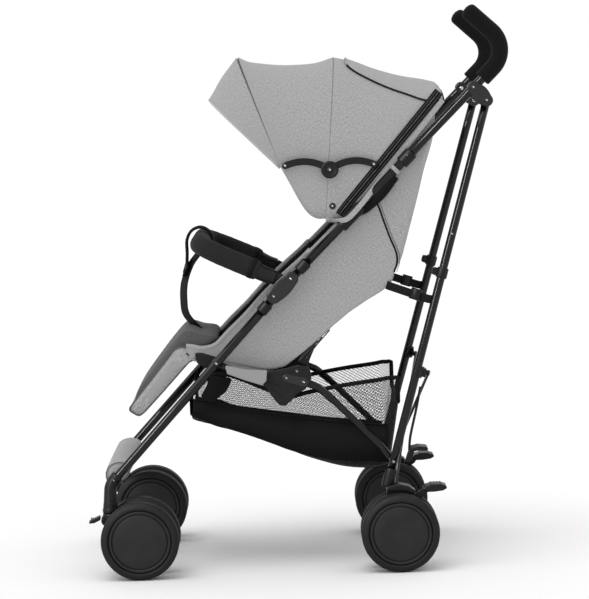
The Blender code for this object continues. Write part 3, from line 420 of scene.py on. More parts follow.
def band_object(name: str, path: Array, width: float | Array, thickness: float, across: tuple = ACROSS,
                bulge: float = 0.35) -> Piece:
    """Flat strap along a path, with rounded selvedges.

    The section is a flat oval of 12 points: half width times a superellipse in one direction, half
    thickness in the other.

    Args:
        name: name of the object.
        path: middle line of the strap, one row each.
        width: full width, one value or one for each point.
        thickness: full thickness.
        across: direction of the width.
        bulge: power of the superellipse; smaller is squarer.

    Returns:
        The new object.
    """
    _, first, second = path_frames(path, np.array(across))
    angles = np.linspace(0.0, 2.0 * np.pi, 12, endpoint=False)[None, :, None]
    wide = np.sign(np.cos(angles)) * np.abs(np.cos(angles)) ** bulge
    thick = np.sign(np.sin(angles)) * np.abs(np.sin(angles)) ** bulge
    widths = np.broadcast_to(np.asarray(width, float), len(path))[:, None, None] / 2.0
    ring = wide * widths * first[:, None, :] + thick * thickness / 2.0 * second[:, None, :]
    return grid_object(name, path[:, None, :] + ring, Closing.AROUND, caps=True)


def plate_object(name: str, low: Array, high: Array, bevel: float, segments: int = 3) -> Piece:
    """Plate between two copies of an outline, with bevelled rims.

    Args:
        name: name of the object.
        low: inner copy of the outline as world points.
        high: outer copy of the outline as world points.
        bevel: width of the bevel.
        segments: segments of the bevel.

    Returns:
        The new object.
    """
    count = len(low)
    points = np.vstack([low, high])
    ring = np.arange(count)
    walls = np.column_stack([ring, (ring + 1) % count, (ring + 1) % count + count, ring + count]).tolist()
    faces = walls + [ring[::-1].tolist(), (ring + count).tolist()]
    piece = mesh_object(name, points, faces)
    fix_normals(piece)
    rounding = piece.modifiers.new("rounding", "BEVEL")
    rounding.width = bevel
    rounding.segments = segments
    rounding.limit_method = "ANGLE"
    rounding.angle_limit = math.radians(40.0)
    rounding.harden_normals = False
    piece.data.set_sharp_from_angle(angle=math.radians(35.0))
    return piece


def slot_outline(a: tuple, b: tuple, radius_a: float, radius_b: float, steps: int = 12) -> Array:
    """Outline around two points: half circles of the two radii, joined by straight lines.

    Args:
        a: first (y, z) point.
        b: second (y, z) point.
        radius_a: radius around the first point.
        radius_b: radius around the second point.
        steps: stretches on each half circle.

    Returns:
        Rows of y and z.
    """
    heading = math.atan2(b[1] - a[1], b[0] - a[0])
    turn = np.linspace(-np.pi / 2, np.pi / 2, steps + 1)
    end_b = np.asarray(b) + radius_b * np.column_stack([np.cos(heading + turn), np.sin(heading + turn)])
    end_a = np.asarray(a) + radius_a * np.column_stack([np.cos(heading + np.pi + turn),
                                                        np.sin(heading + np.pi + turn)])
    return np.vstack([end_b, end_a])


# Shader node trees


class Graph:
    """A node tree that is filled by short calls."""

    def __init__(self, tree: bpy.types.NodeTree) -> None:
        """Take a tree and empty it."""
        self.tree = tree
        tree.nodes.clear()

    def feed(self, node: Node, inputs: dict) -> Node:
        """Fill a node's inputs: a socket is linked, another value is set.

        Args:
            node: the node.
            inputs: name or number of each input, and what it gets.

        Returns:
            The same node.
        """
        for key, value in inputs.items():
            if isinstance(value, Socket):
                self.tree.links.new(value, node.inputs[key])
            else:
                node.inputs[key].default_value = value
        return node

    def add(self, kind: str, inputs: dict | None = None, **settings: object) -> Node:
        """Add a node with its properties and inputs.

        Args:
            kind: node type without the ShaderNode prefix, or a full type name.
            inputs: as feed takes them.
            settings: properties of the node.

        Returns:
            The new node.
        """
        node = self.tree.nodes.new(kind if kind.startswith("Node") else f"ShaderNode{kind}")
        for key, value in settings.items():
            setattr(node, key, value)
        return self.feed(node, inputs or {})

    def math(self, operation: str, *values: object, clamp: bool = False) -> Socket:
        """Result of a Math node on up to three values or sockets."""
        return self.add("Math", dict(enumerate(values)), operation=operation, use_clamp=clamp).outputs[0]

    def mix_value(self, mask: object, low: object, high: object) -> Socket:
        """Value that goes from low to high with the mask."""
        return self.add("Mix", {0: mask, 2: low, 3: high}, data_type="FLOAT").outputs[0]

    def mix_colour(self, mask: object, low: object, high: object, **settings: object) -> Socket:
        """Colour that goes from low to high with the mask."""
        return self.add("Mix", {0: mask, 6: low, 7: high}, data_type="RGBA", **settings).outputs[2]

    def remap(self, value: object, low: float, high: float, new_low: float = 0.0,
              new_high: float = 1.0) -> Socket:
        """Value taken from one range to another, clamped."""
        return self.add("MapRange", {0: value, 1: low, 2: high, 3: new_low, 4: new_high}).outputs[0]


def new_group(name: str, inputs: dict[str, float | None], outputs: dict[str, str]) -> tuple:
    """Empty shader node group with its sockets.

    Args:
        name: name of the group.
        inputs: input name to its default value, or to None for a vector.
        outputs: output name to socket type.

    Returns:
        The group's graph, its input node and its output node.
    """
    tree = bpy.data.node_groups.new(name, "ShaderNodeTree")
    for label, default in inputs.items():
        kind = "Vector" if default is None else "Float"
        socket = tree.interface.new_socket(label, in_out="INPUT", socket_type=f"NodeSocket{kind}")
        if default is not None:
            socket.default_value = default
    for label, kind in outputs.items():
        tree.interface.new_socket(label, in_out="OUTPUT", socket_type=f"NodeSocket{kind}")
    graph = Graph(tree)
    return graph, graph.add("NodeGroupInput"), graph.add("NodeGroupOutput")


class Effects:
    """Node groups that several finishes share. Each is built once."""

    _made: dict[str, bpy.types.NodeTree] = {}

    @classmethod
    def get(cls, name: str) -> bpy.types.NodeTree:
        """Group of that name, built when it is first asked for."""
        if name not in cls._made:
            cls._made[name] = getattr(cls, f"_{name}")()
        return cls._made[name]

    @staticmethod
    def _grain() -> bpy.types.NodeTree:
        """Fine cloudy grain: a value around 0.5, and a normal bumped by it."""
        graph, given, result = new_group("grain", {"Vector": None, "Scale": 900.0, "Strength": 0.2,
                                                   "Distance": 0.0002},
                                         {"Value": "Float", "Normal": "Vector"})
        noise = graph.add("TexNoise", {"Vector": given.outputs["Vector"], "Scale": given.outputs["Scale"],
                                       "Detail": 3.0, "Roughness": 0.6})
        bump = graph.add("Bump", {"Strength": given.outputs["Strength"],
                                  "Distance": given.outputs["Distance"], "Height": noise.outputs[0]})
        graph.feed(result, {"Value": noise.outputs[0], "Normal": bump.outputs[0]})
        return graph.tree

    @staticmethod
    def _weave() -> bpy.types.NodeTree:
        """Plain weave: crossing threads that pass over each other in turn.

        With u and v the place in threads, warp height is |sin(pi u)|, weft height is |sin(pi v)|, and the
        thread on top changes with the sign of sin(pi u) times sin(pi v).
        """
        graph, given, result = new_group("weave", {"Vector": None, "Pitch": 0.001, "Strength": 0.5},
                                         {"Height": "Float", "Over": "Float", "Normal": "Vector"})
        parts = graph.add("SeparateXYZ", {0: given.outputs["Vector"]})
        waves = []
        for axis in (0, 1):
            threads = graph.math("DIVIDE", parts.outputs[axis], given.outputs["Pitch"])
            waves.append(graph.math("SINE", graph.math("MULTIPLY", threads, math.pi)))
        over = graph.math("MULTIPLY_ADD", graph.math("MULTIPLY", *waves), 2.0, 0.5, clamp=True)
        warp, weft = (graph.math("ABSOLUTE", wave) for wave in waves)
        height = graph.mix_value(over, warp, weft)
        bump = graph.add("Bump", {"Strength": given.outputs["Strength"], "Distance": 0.0002,
                                  "Height": height})
        graph.feed(result, {"Height": height, "Over": over, "Normal": bump.outputs[0]})
        return graph.tree

    @staticmethod
    def _melange() -> bpy.types.NodeTree:
        """Two-tone yarn: streaks along both thread directions, mixed by which thread lies on top."""
        graph, given, result = new_group("melange", {"Vector": None, "Over": 0.5}, {"Value": "Float"})
        streaks = []
        for stretch in ((260.0, 1500.0, 1.0), (1500.0, 260.0, 1.0)):
            placed = graph.add("Mapping", {"Vector": given.outputs["Vector"], "Scale": stretch})
            noise = graph.add("TexNoise", {"Vector": placed.outputs[0], "Scale": 1.0, "Detail": 2.0})
            streaks.append(noise.outputs[0])
        both = graph.mix_value(given.outputs["Over"], *streaks)
        graph.feed(result, {"Value": graph.remap(both, 0.36, 0.64)})
        return graph.tree

    @staticmethod
    def _net() -> bpy.types.NodeTree:
        """Knitted net: rows of round holes, every other row moved by half a hole. 1 is thread, 0 is hole.

        In cells as wide as the pitch and ROW_RATIO of it high, the distance to the cell's centre is
        compared with the hole's radius.
        """
        graph, given, result = new_group("net", {"Vector": None, "Pitch": 0.0022, "Hole": 0.34},
                                         {"Thread": "Float", "Height": "Float"})
        parts = graph.add("SeparateXYZ", {0: given.outputs["Vector"]})
        pitch = given.outputs["Pitch"]
        v = graph.math("DIVIDE", parts.outputs[1], graph.math("MULTIPLY", pitch, ROW_RATIO))
        odd = graph.math("MODULO", graph.math("ABSOLUTE", graph.math("FLOOR", v)), 2.0)
        u = graph.math("MULTIPLY_ADD", odd, 0.5, graph.math("DIVIDE", parts.outputs[0], pitch))
        du = graph.math("SUBTRACT", graph.math("FRACT", u), 0.5)
        dv = graph.math("MULTIPLY", graph.math("SUBTRACT", graph.math("FRACT", v), 0.5), ROW_RATIO)
        squares = (graph.math("MULTIPLY", step, step) for step in (du, dv))
        away = graph.math("SQRT", graph.math("ADD", *squares))
        thread = graph.remap(graph.math("SUBTRACT", away, given.outputs["Hole"]), -0.03, 0.03)
        graph.feed(result, {"Thread": thread, "Height": graph.remap(away, 0.3, 0.55)})
        return graph.tree


Colour = tuple[float, float, float]
Held = tuple[str, tuple[str, ...]]


def rgba(colour: Colour) -> tuple[float, float, float, float]:
    """Colour with an alpha of one."""
    return (*colour, 1.0)


def scaled(colour: Colour, factor: float) -> Colour:
    """Colour made darker or lighter by a factor."""
    return tuple(c * factor for c in colour)


@dataclass(frozen=True)
class Finish:
    """A finish that a material is made from, and the record's material slot that it belongs to."""

    name: str
    colour: Colour
    slot: str
    specular: float = 0.22

    def build(self) -> bpy.types.Material:
        """The material of this finish, made once for each name."""
        found = bpy.data.materials.get(self.name)
        if found:
            return found
        made = bpy.data.materials.new(self.name)
        made.use_nodes = True
        made.diffuse_color = rgba(self.colour)
        graph = Graph(made.node_tree)
        place = graph.add("TexCoord")
        shader = graph.add("BsdfPrincipled", {"Base Color": rgba(self.colour),
                                              "Specular IOR Level": self.specular})
        graph.feed(shader, self.look(graph, place))
        graph.add("OutputMaterial", {0: self.surface(graph, place, shader)})
        return made

    def look(self, graph: Graph, place: Node) -> dict:
        """What the Principled shader's inputs get. A plain finish leaves them alone.

        Args:
            graph: the material's graph.
            place: its Texture Coordinate node.

        Returns:
            Input name to a socket or a value.
        """
        return {}

    def surface(self, graph: Graph, place: Node, shader: Node) -> Socket:
        """What the material shows: the Principled shader alone, but for the net."""
        return shader.outputs[0]

    def grain(self, graph: Graph, place: Node, scale: float, strength: float) -> Node:
        """Grain group on the object's own coordinates.

        Args:
            graph: the material's graph.
            place: its Texture Coordinate node.
            scale: grains per metre, about.
            strength: strength of the bump.

        Returns:
            The group node.
        """
        return graph.add("Group", {"Vector": place.outputs["Object"], "Scale": scale, "Strength": strength},
                         node_tree=Effects.get("grain"))


@dataclass(frozen=True)
class Coat(Finish):
    """Satin black coat on metal tubes, with a faint unevenness in its gloss."""

    roughness: float = 0.34
    coat: float = 0.25

    def look(self, graph: Graph, place: Node) -> dict:
        """Varied gloss, clear coat and a slight orange-peel bump."""
        peel = self.grain(graph, place, 420.0, 0.05)
        cloud = graph.add("TexNoise", {"Vector": place.outputs["Object"], "Scale": 18.0, "Detail": 3.0})
        rough = graph.remap(cloud.outputs[0], 0.3, 0.7, self.roughness - 0.03, self.roughness + 0.04)
        return {"Roughness": rough, "Normal": peel.outputs["Normal"], "Coat Weight": self.coat,
                "Coat Roughness": 0.06}


@dataclass(frozen=True)
class Plastic(Finish):
    """Moulded black plastic with a fine spark-eroded grain."""

    roughness: float = 0.45
    strength: float = 0.18

    def look(self, graph: Graph, place: Node) -> dict:
        """Gloss and grain."""
        grain = self.grain(graph, place, 2600.0, self.strength)
        rough = graph.remap(grain.outputs["Value"], 0.3, 0.7, self.roughness - 0.04, self.roughness + 0.05)
        return {"Roughness": rough, "Normal": grain.outputs["Normal"]}


@dataclass(frozen=True)
class Foam(Finish):
    """Closed-cell foam: dull, with a fine pebbled skin."""

    pebble: float = 1500.0

    def look(self, graph: Graph, place: Node) -> dict:
        """Dull skin with painted shade that darkens its pits a little."""
        cells = graph.add("TexVoronoi", {"Vector": place.outputs["Object"], "Scale": self.pebble})
        grain = self.grain(graph, place, 900.0, 0.25)
        tone = graph.remap(cells.outputs["Distance"], 0.1, 0.8)
        bump = graph.add("Bump", {"Strength": 0.35, "Distance": 0.0003, "Height": tone,
                                  "Normal": grain.outputs["Normal"]}, invert=True)
        # Painted shade: the pits of the skin are darkened to 0.72 of the colour.
        return {"Base Color": graph.mix_colour(tone, rgba(self.colour), rgba(scaled(self.colour, 0.72))),
                "Normal": bump.outputs[0], "Roughness": 0.92, "Sheen Weight": 0.05, "Sheen Roughness": 0.5}


@dataclass(frozen=True)
class Tyre(Finish):
    """Matte black tyre and disc material."""

    roughness: float = 0.62

    def look(self, graph: Graph, place: Node) -> dict:
        """Dull surface with a mould grain and a light haze of dust."""
        grain = self.grain(graph, place, 1800.0, 0.22)
        haze = graph.add("TexNoise", {"Vector": place.outputs["Object"], "Scale": 35.0, "Detail": 4.0})
        lift = graph.remap(haze.outputs[0], 0.4, 0.75)
        light = tuple(c * 1.25 + 0.002 for c in self.colour)
        rough = graph.remap(haze.outputs[0], 0.3, 0.7, self.roughness - 0.05, self.roughness + 0.08)
        return {"Base Color": graph.mix_colour(lift, rgba(self.colour), rgba(light)), "Roughness": rough,
                "Normal": grain.outputs["Normal"]}


@dataclass(frozen=True)
class Steel(Finish):
    """Bright metal of rivets, pins and axle ends."""

    roughness: float = 0.22

    def look(self, graph: Graph, place: Node) -> dict:
        """Bare metal with fine scratches."""
        grain = self.grain(graph, place, 1200.0, 0.06)
        return {"Normal": grain.outputs["Normal"], "Metallic": 1.0, "Roughness": self.roughness}


@dataclass(frozen=True)
class Cloth(Finish):
    """Woven cloth on the piece's own UV map, in metres: thread pitch, two-tone yarn and soft sheen."""

    pitch: float = 0.0011
    contrast: float = 0.34
    strength: float = 0.55
    sheen: float = 0.15
    roughness: float = 0.95

    def look(self, graph: Graph, place: Node) -> dict:
        """Woven relief and mottled yarn, with painted shade that darkens the gaps between the threads."""
        weave = graph.add("Group", {"Vector": place.outputs["UV"], "Pitch": self.pitch,
                                    "Strength": self.strength}, node_tree=Effects.get("weave"))
        yarn = graph.add("Group", {"Vector": place.outputs["UV"], "Over": weave.outputs["Over"]},
                         node_tree=Effects.get("melange"))
        light = tuple(min(c, 0.9) for c in scaled(self.colour, 1.0 + 0.55 * self.contrast))
        tone = graph.mix_colour(yarn.outputs["Value"], rgba(scaled(self.colour, 1.0 - self.contrast)),
                                rgba(light))
        # Painted shade: the base colour darkens to 0.8 of itself in the low gaps between the threads.
        thread_gap_shade = graph.remap(weave.outputs["Height"], 0.0, 0.5, 0.8, 1.0)
        return {"Base Color": graph.mix_colour(1.0, tone, thread_gap_shade, blend_type="MULTIPLY"),
                "Normal": weave.outputs["Normal"], "Roughness": self.roughness, "Sheen Weight": self.sheen,
                "Sheen Roughness": 0.4}


@dataclass(frozen=True)
class Net(Finish):
    """Open knitted net: threads around holes that light and sight pass through."""

    pitch: float = 0.0027
    hole: float = 0.41

    def surface(self, graph: Graph, place: Node, shader: Node) -> Socket:
        """Mix the thread with a transparent shader by the net's mask."""
        turned = graph.add("Mapping", {"Vector": place.outputs["UV"],
                                       "Rotation": (0.0, 0.0, math.radians(76.0)),
                                       "Scale": (1.0, 0.62, 1.0)})
        net = graph.add("Group", {"Vector": turned.outputs[0], "Pitch": self.pitch, "Hole": self.hole},
                        node_tree=Effects.get("net"))
        bump = graph.add("Bump", {"Strength": 0.5, "Distance": 0.0003, "Height": net.outputs["Height"]})
        graph.feed(shader, {"Normal": bump.outputs[0], "Roughness": 0.6, "Sheen Weight": 0.2})
        clear = graph.add("BsdfTransparent")
        mixed = graph.add("MixShader", {0: net.outputs["Thread"], 1: clear.outputs[0],
                                        2: shader.outputs[0]})
        return mixed.outputs[0]


BLACK_TUBE = Coat("satin black tube", (0.004, 0.004, 0.0045), "tube_black", specular=0.12, roughness=0.16,
                  coat=0.34)
BLACK_STEEL = Coat("black steel bar", (0.004, 0.004, 0.0045), "tube_black", specular=0.2, roughness=0.3,
                   coat=0.2)
BLACK_PLASTIC = Plastic("grained black plastic", (0.005, 0.005, 0.0055), "plastic_black", roughness=0.42)
SMOOTH_PLASTIC = Plastic("smooth black plastic", (0.008, 0.008, 0.0085), "plastic_black", specular=0.4,
                         roughness=0.26, strength=0.05)
GRIP_FOAM = Foam("handle foam", (0.009, 0.009, 0.0095), "grip_foam", specular=0.06)
BAR_FOAM = Cloth("bar cover", (0.024, 0.024, 0.0245), "foam_cover", specular=0.08, pitch=0.0011,
                 contrast=0.5, strength=0.5, sheen=0.05)
TYRE_BLACK = Tyre("tyre", (0.007, 0.007, 0.007), "wheel_black")
DISC_BLACK = Tyre("wheel disc", (0.013, 0.013, 0.013), "wheel_black", roughness=0.5)
BRIGHT_STEEL = Steel("bright rivet", (0.5, 0.5, 0.49), "steel_black")
DARK_STEEL = Steel("darkened rivet", (0.055, 0.055, 0.055), "steel_black", roughness=0.3)
PALE_CLOTH = Cloth("pale piping cloth", (0.52, 0.52, 0.52), "fabric_grey", specular=0.1, pitch=0.0009,
                   contrast=0.2)
GREY_CLOTH = Cloth("grey melange cloth", (0.455, 0.455, 0.455), "fabric_grey", specular=0.06, contrast=0.48)
LINER_CLOTH = Cloth("dark liner cloth", (0.115, 0.115, 0.118), "fabric_grey", specular=0.08, pitch=0.0009)
SEAM_CLOTH = Cloth("seam cloth", (0.13, 0.13, 0.13), "fabric_grey", specular=0.05, pitch=0.0007,
                   contrast=0.2)
BINDING = Cloth("black binding", (0.0055, 0.0055, 0.006), "webbing_black", specular=0.1, pitch=0.0012,
                contrast=0.5, strength=0.8, sheen=0.02, roughness=0.7)
WEBBING = Cloth("black webbing", (0.006, 0.006, 0.0065), "webbing_black", specular=0.12, pitch=0.0016,
                contrast=0.45, strength=0.9, sheen=0.02, roughness=0.7)
BLACK_NET = Net("black net", (0.012, 0.012, 0.0125), "mesh_grey", specular=0.1)

# The same cloths on pieces that belong to another slot
ZIP_STITCH = replace(SEAM_CLOTH, slot="plastic_black")
PAD_CLOTH = replace(LINER_CLOTH, slot="webbing_black")
BAR_BINDING = replace(BINDING, slot="foam_cover")


@dataclass
class Assembly:
    """A sub-assembly: it dresses its pieces, hangs them on their bodies and counts them."""

    name: str
    count: int = field(default=0, init=False)

    def put(self, piece: Piece, finish: Finish, body: str, stands_for: tuple[str, ...] = ()) -> Piece:
        """Dress a piece, hang it on its body, and let it stand for CAD nodes.

        Args:
            piece: the piece.
            finish: its finish, which also names its slot.
            body: body that it rides on.
            stands_for: CAD nodes that it replaces.

        Returns:
            The same piece.
        """
        piece.data.materials.clear()
        piece.data.materials.append(finish.build())
        if stands_for:
            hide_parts(*stands_for)
        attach(piece, body)
        self.count += 1
        LOG.info("%s: %s", self.name, piece.name)
        return piece


def round_outline(corners: list[tuple[float, float]], radius: float, steps: int = 4) -> Array:
    """Closed outline with an arc at each corner, no larger than a third of its shorter side.

    Args:
        corners: rows of y and z.
        radius: wanted radius of the arcs.
        steps: stretches of each arc.

    Returns:
        Rows of y and z.
    """
    corners = np.asarray(corners, float)
    outline = []
    for before, corner, after in zip(np.roll(corners, 1, 0), corners, np.roll(corners, -1, 0)):
        into, out = corner - before, after - corner
        shorter = min(np.linalg.norm(into), np.linalg.norm(out))
        turn = math.acos(float(np.clip(unit(into) @ unit(out), -1.0, 1.0)))
        fit = min(radius, 0.34 * shorter / max(math.tan(turn / 2.0), 1e-3))
        reach = fit * math.tan(turn / 2.0)
        piece = arc_path([corner - unit(into) * reach * 1.01, corner, corner + unit(out) * reach * 1.01],
                         fit, steps)
        outline.extend(piece[1:-1] if len(piece) > 3 else [corner])
    return np.array(outline)


@dataclass
class SidePart(Assembly):
    """A sub-assembly that is built once for each side of the frame."""

    side: Side = Side.LEFT

    def body(self, stem: str) -> str:
        """Name of this side's body or node of that stem."""
        return f"{stem}_{self.side.tag}"

    def flat(self, name: str, outline: Array, w0: float, w1: float, bevel: float = 0.0012) -> Piece:
        """Plate of a (y, z) outline between two layers of the side plane, mirrored for the right side."""
        low, high = LAYOUT.on_side(outline, w0), LAYOUT.on_side(outline, w1)
        return plate_object(self.body(name), mirrored(low, self.side), mirrored(high, self.side), bevel)

    def upright(self, name: str, outline: Array, x0: float, x1: float, bevel: float = 0.0012) -> Piece:
        """Plate of a (y, z) outline between two values of x, mirrored for the right side."""
        low, high = LAYOUT.at(x0, outline), LAYOUT.at(x1, outline)
        return plate_object(self.body(name), mirrored(low, self.side), mirrored(high, self.side), bevel)

    def tube(self, name: str, path: Array, radius: float | Array, flat: float = 1.0,
             sides: int = 32) -> Piece:
        """Capped tube along world points of the left side, mirrored for the right side."""
        grid = tube_grid(path, radius, sides, ACROSS, flat)
        return grid_object(self.body(name), mirrored(grid, self.side), Closing.AROUND, caps=True)

    def turned(self, name: str, profile: list, centre: Array, axis: tuple, segments: int = 48) -> Piece:
        """Capped turned piece at a world point of the left side, mirrored for the right side."""
        grid = lathe_grid(np.array(profile), centre, np.array(axis), segments)
        return grid_object(self.body(name), mirrored(grid, self.side), Closing.AROUND, caps=True)

    def pin(self, name: str, yz: tuple[float, float], w0: float, w1: float, radius: float) -> Piece:
        """Round pin square to the side plane with softened ends."""
        length = w1 - w0
        edge = min(0.0006, radius * 0.3)
        profile = [(radius - edge, 0.0), (radius, edge), (radius, length - edge), (radius - edge, length)]
        return self.turned(name, profile, LAYOUT.spot(yz, w0), tuple(LAYOUT.normal), 24)

    def axle(self, name: str, centre: Array, reach: float, body: str) -> None:
        """Bright axle of two wheels that reaches the same way to both sides of its centre."""
        radius, edge = 0.004, 0.0006
        rod = [(radius - edge, -reach), (radius, -reach + edge), (radius, reach - edge),
               (radius - edge, reach)]
        self.put(self.turned(name, rod, centre, ACROSS, 24), BRIGHT_STEEL, body)

    def rivet(self, name: str, yz: tuple[float, float], w: float, radius: float, body: str,
              height: float = 0.0016) -> None:
        """Dark domed rivet head with a small bright steel middle, a painted highlight for its glint.

        Args:
            name: stem of the pieces' names.
            yz: its place in drawing coordinates.
            w: layer that it stands on.
            radius: radius of the head.
            body: body that it rides on.
            height: how far it stands proud.
        """
        foot, axis = LAYOUT.spot(yz, w), tuple(LAYOUT.normal)
        profile = [(radius, -0.0004), (radius, height * 0.25), (radius * 0.9, height * 0.62),
                   (radius * 0.68, height * 0.9), (radius * 0.42, height), (radius * 0.36, height * 0.8),
                   (radius * 0.2, height * 0.78)]
        self.put(self.turned(name, profile, foot, axis, 32), DARK_STEEL, body)
        # Painted highlight: a bright steel dome on the middle of the head stands in for the rivet's glint.
        small = radius * 0.42
        bright = [(small, height * 0.5), (small * 0.96, height * 1.02), (small * 0.6, height * 1.16),
                  (small * 0.3, height * 1.18)]
        self.put(self.turned(f"{name}_middle", bright, foot, axis, 24), BRIGHT_STEEL, body)


@dataclass
class WheelSet(SidePart):
    """The four wheels of one side: a stepped tyre on a plain disc with two grooves, dished between them."""

    axle_height: float = 0.074
    half_width: float = 0.018
    rim_r: float = 0.06
    outer_x: float = 0.232
    front_inner_x: float = 0.165
    rear_inner_x: float = 0.181
    front_y: float = -0.246
    rear_y: float = 0.246

    def tyre_profile(self) -> list[tuple[float, float]]:
        """Closed section of the tyre as radius and height: sidewall, two shoulders, ribbed tread, back."""
        half = self.half_width
        edge = LAYOUT.wheel_r
        front = [(self.rim_r, half - 0.0045), (self.rim_r + 0.0002, half - 0.0012),
                 (self.rim_r + 0.0012, half), (self.rim_r + 0.004, half + 0.0001), (0.068, half - 0.0008),
                 (0.0696, half - 0.0022), (0.0702, half - 0.003), (0.0712, half - 0.0033),
                 (0.0728, half - 0.005), (0.0737, half - 0.0072), (edge, half - 0.01)]
        tread = [(edge, half - 0.015), (edge - 0.0009, half - 0.0153), (edge - 0.0009, half - 0.0166),
                 (edge, half - 0.0169)]
        back = [(radius, -height) for radius, height in reversed(front + tread)]
        return front + tread + back

    def disc_profile(self) -> list[tuple[float, float]]:
        """Section of the disc from the middle outward, round the rim and back along the dished side."""
        half = self.half_width
        rim = self.rim_r
        face = [(0.0, half - 0.0002), (0.03, half - 0.0003), (0.05, half - 0.0006), (0.0512, half - 0.001),
                (0.0516, half - 0.0034), (0.0528, half - 0.0034), (0.0532, half - 0.0008),
                (0.0542, half - 0.0003), (0.0572, half - 0.0003), (0.0582, half - 0.0008),
                (0.0585, half - 0.0036), (rim, half - 0.004)]
        dish = [(rim, -half + 0.001), (rim - 0.0015, -half + 0.0002), (rim - 0.0035, -half + 0.0006),
                (rim - 0.0055, half - 0.009), (rim - 0.008, half - 0.0105), (0.019, half - 0.0108),
                (0.0165, half - 0.0095 - 0.0016), (0.0155, -half + 0.0012), (0.0145, -half), (0.007, -half),
                (0.0058, -half + 0.0012), (0.0054, half - 0.006), (0.0, half - 0.006)]
        return face + dish

    def ribs(self, centre: Array, outward: float) -> Piece:
        """Eight ribs between the hub and the rim on the dished side, each a thin upright plate."""
        half = self.half_width
        inner, outer, thick = 0.015, self.rim_r - 0.0048, 0.0011
        angles = np.linspace(0.0, 2.0 * np.pi, 8, endpoint=False) + 0.2
        radial = np.column_stack([np.zeros(8), np.cos(angles), np.sin(angles)])
        across = np.column_stack([np.zeros(8), -np.sin(angles), np.cos(angles)])
        corners = [(inner, -half + 0.003), (outer, -half + 0.006), (outer, half - 0.01),
                   (inner, half - 0.01)]
        points = []
        for sign in (-1.0, 1.0):
            for radius, height in corners:
                step = np.array([outward * height, 0.0, 0.0])
                points.append(centre + radial * radius + across * thick * sign + step)
        points = np.stack(points, axis=1)
        quad = [(0, 1, 2, 3), (7, 6, 5, 4), (0, 4, 5, 1), (1, 5, 6, 2), (2, 6, 7, 3), (3, 7, 4, 0)]
        faces = [tuple(8 * rib + corner for corner in face) for rib in range(8) for face in quad]
        piece = mesh_object("ribs", mirrored(points.reshape(-1, 3), self.side), faces, smooth=False)
        fix_normals(piece)
        return piece

    def wheel(self, place: str, x: float, y: float, outward: float) -> None:
        """One wheel.

        Args:
            place: its name after the word wheel, as the nodes have it.
            x: x of its middle.
            y: drawing y of its axle.
            outward: 1 where its plain face looks away from the middle of the buggy, else -1.
        """
        centre = LAYOUT.spot_at(x, (y, self.axle_height))
        node = f"wheel_{place}"
        axis = np.array([outward, 0.0, 0.0])
        tyre_grid = mirrored(lathe_grid(np.array(self.tyre_profile()), centre, axis, 128), self.side)
        tyre = grid_object(f"tyre_{place}", tyre_grid.transpose(1, 0, 2), Closing.BOTH)
        self.put(tyre, TYRE_BLACK, node, (node,))
        disc_grid = mirrored(lathe_grid(np.array(self.disc_profile()), centre, axis, 128), self.side)
        disc = grid_object(f"disc_{place}", disc_grid, Closing.AROUND)
        self.put(disc, DISC_BLACK, node)
        ribs = self.ribs(centre, outward)
        ribs.name = f"disc_ribs_{place}"
        self.put(ribs, DISC_BLACK, node)

    def build(self) -> None:
        """All four wheels."""
        tag = self.side.tag
        self.wheel(f"front_{tag}_outer", self.outer_x, self.front_y, 1.0)
        self.wheel(f"front_{tag}_inner", self.front_inner_x, self.front_y, -1.0)
        self.wheel(f"rear_{tag}_outer", self.outer_x, self.rear_y, 1.0)
        self.wheel(f"rear_{tag}_inner", self.rear_inner_x, self.rear_y, -1.0)


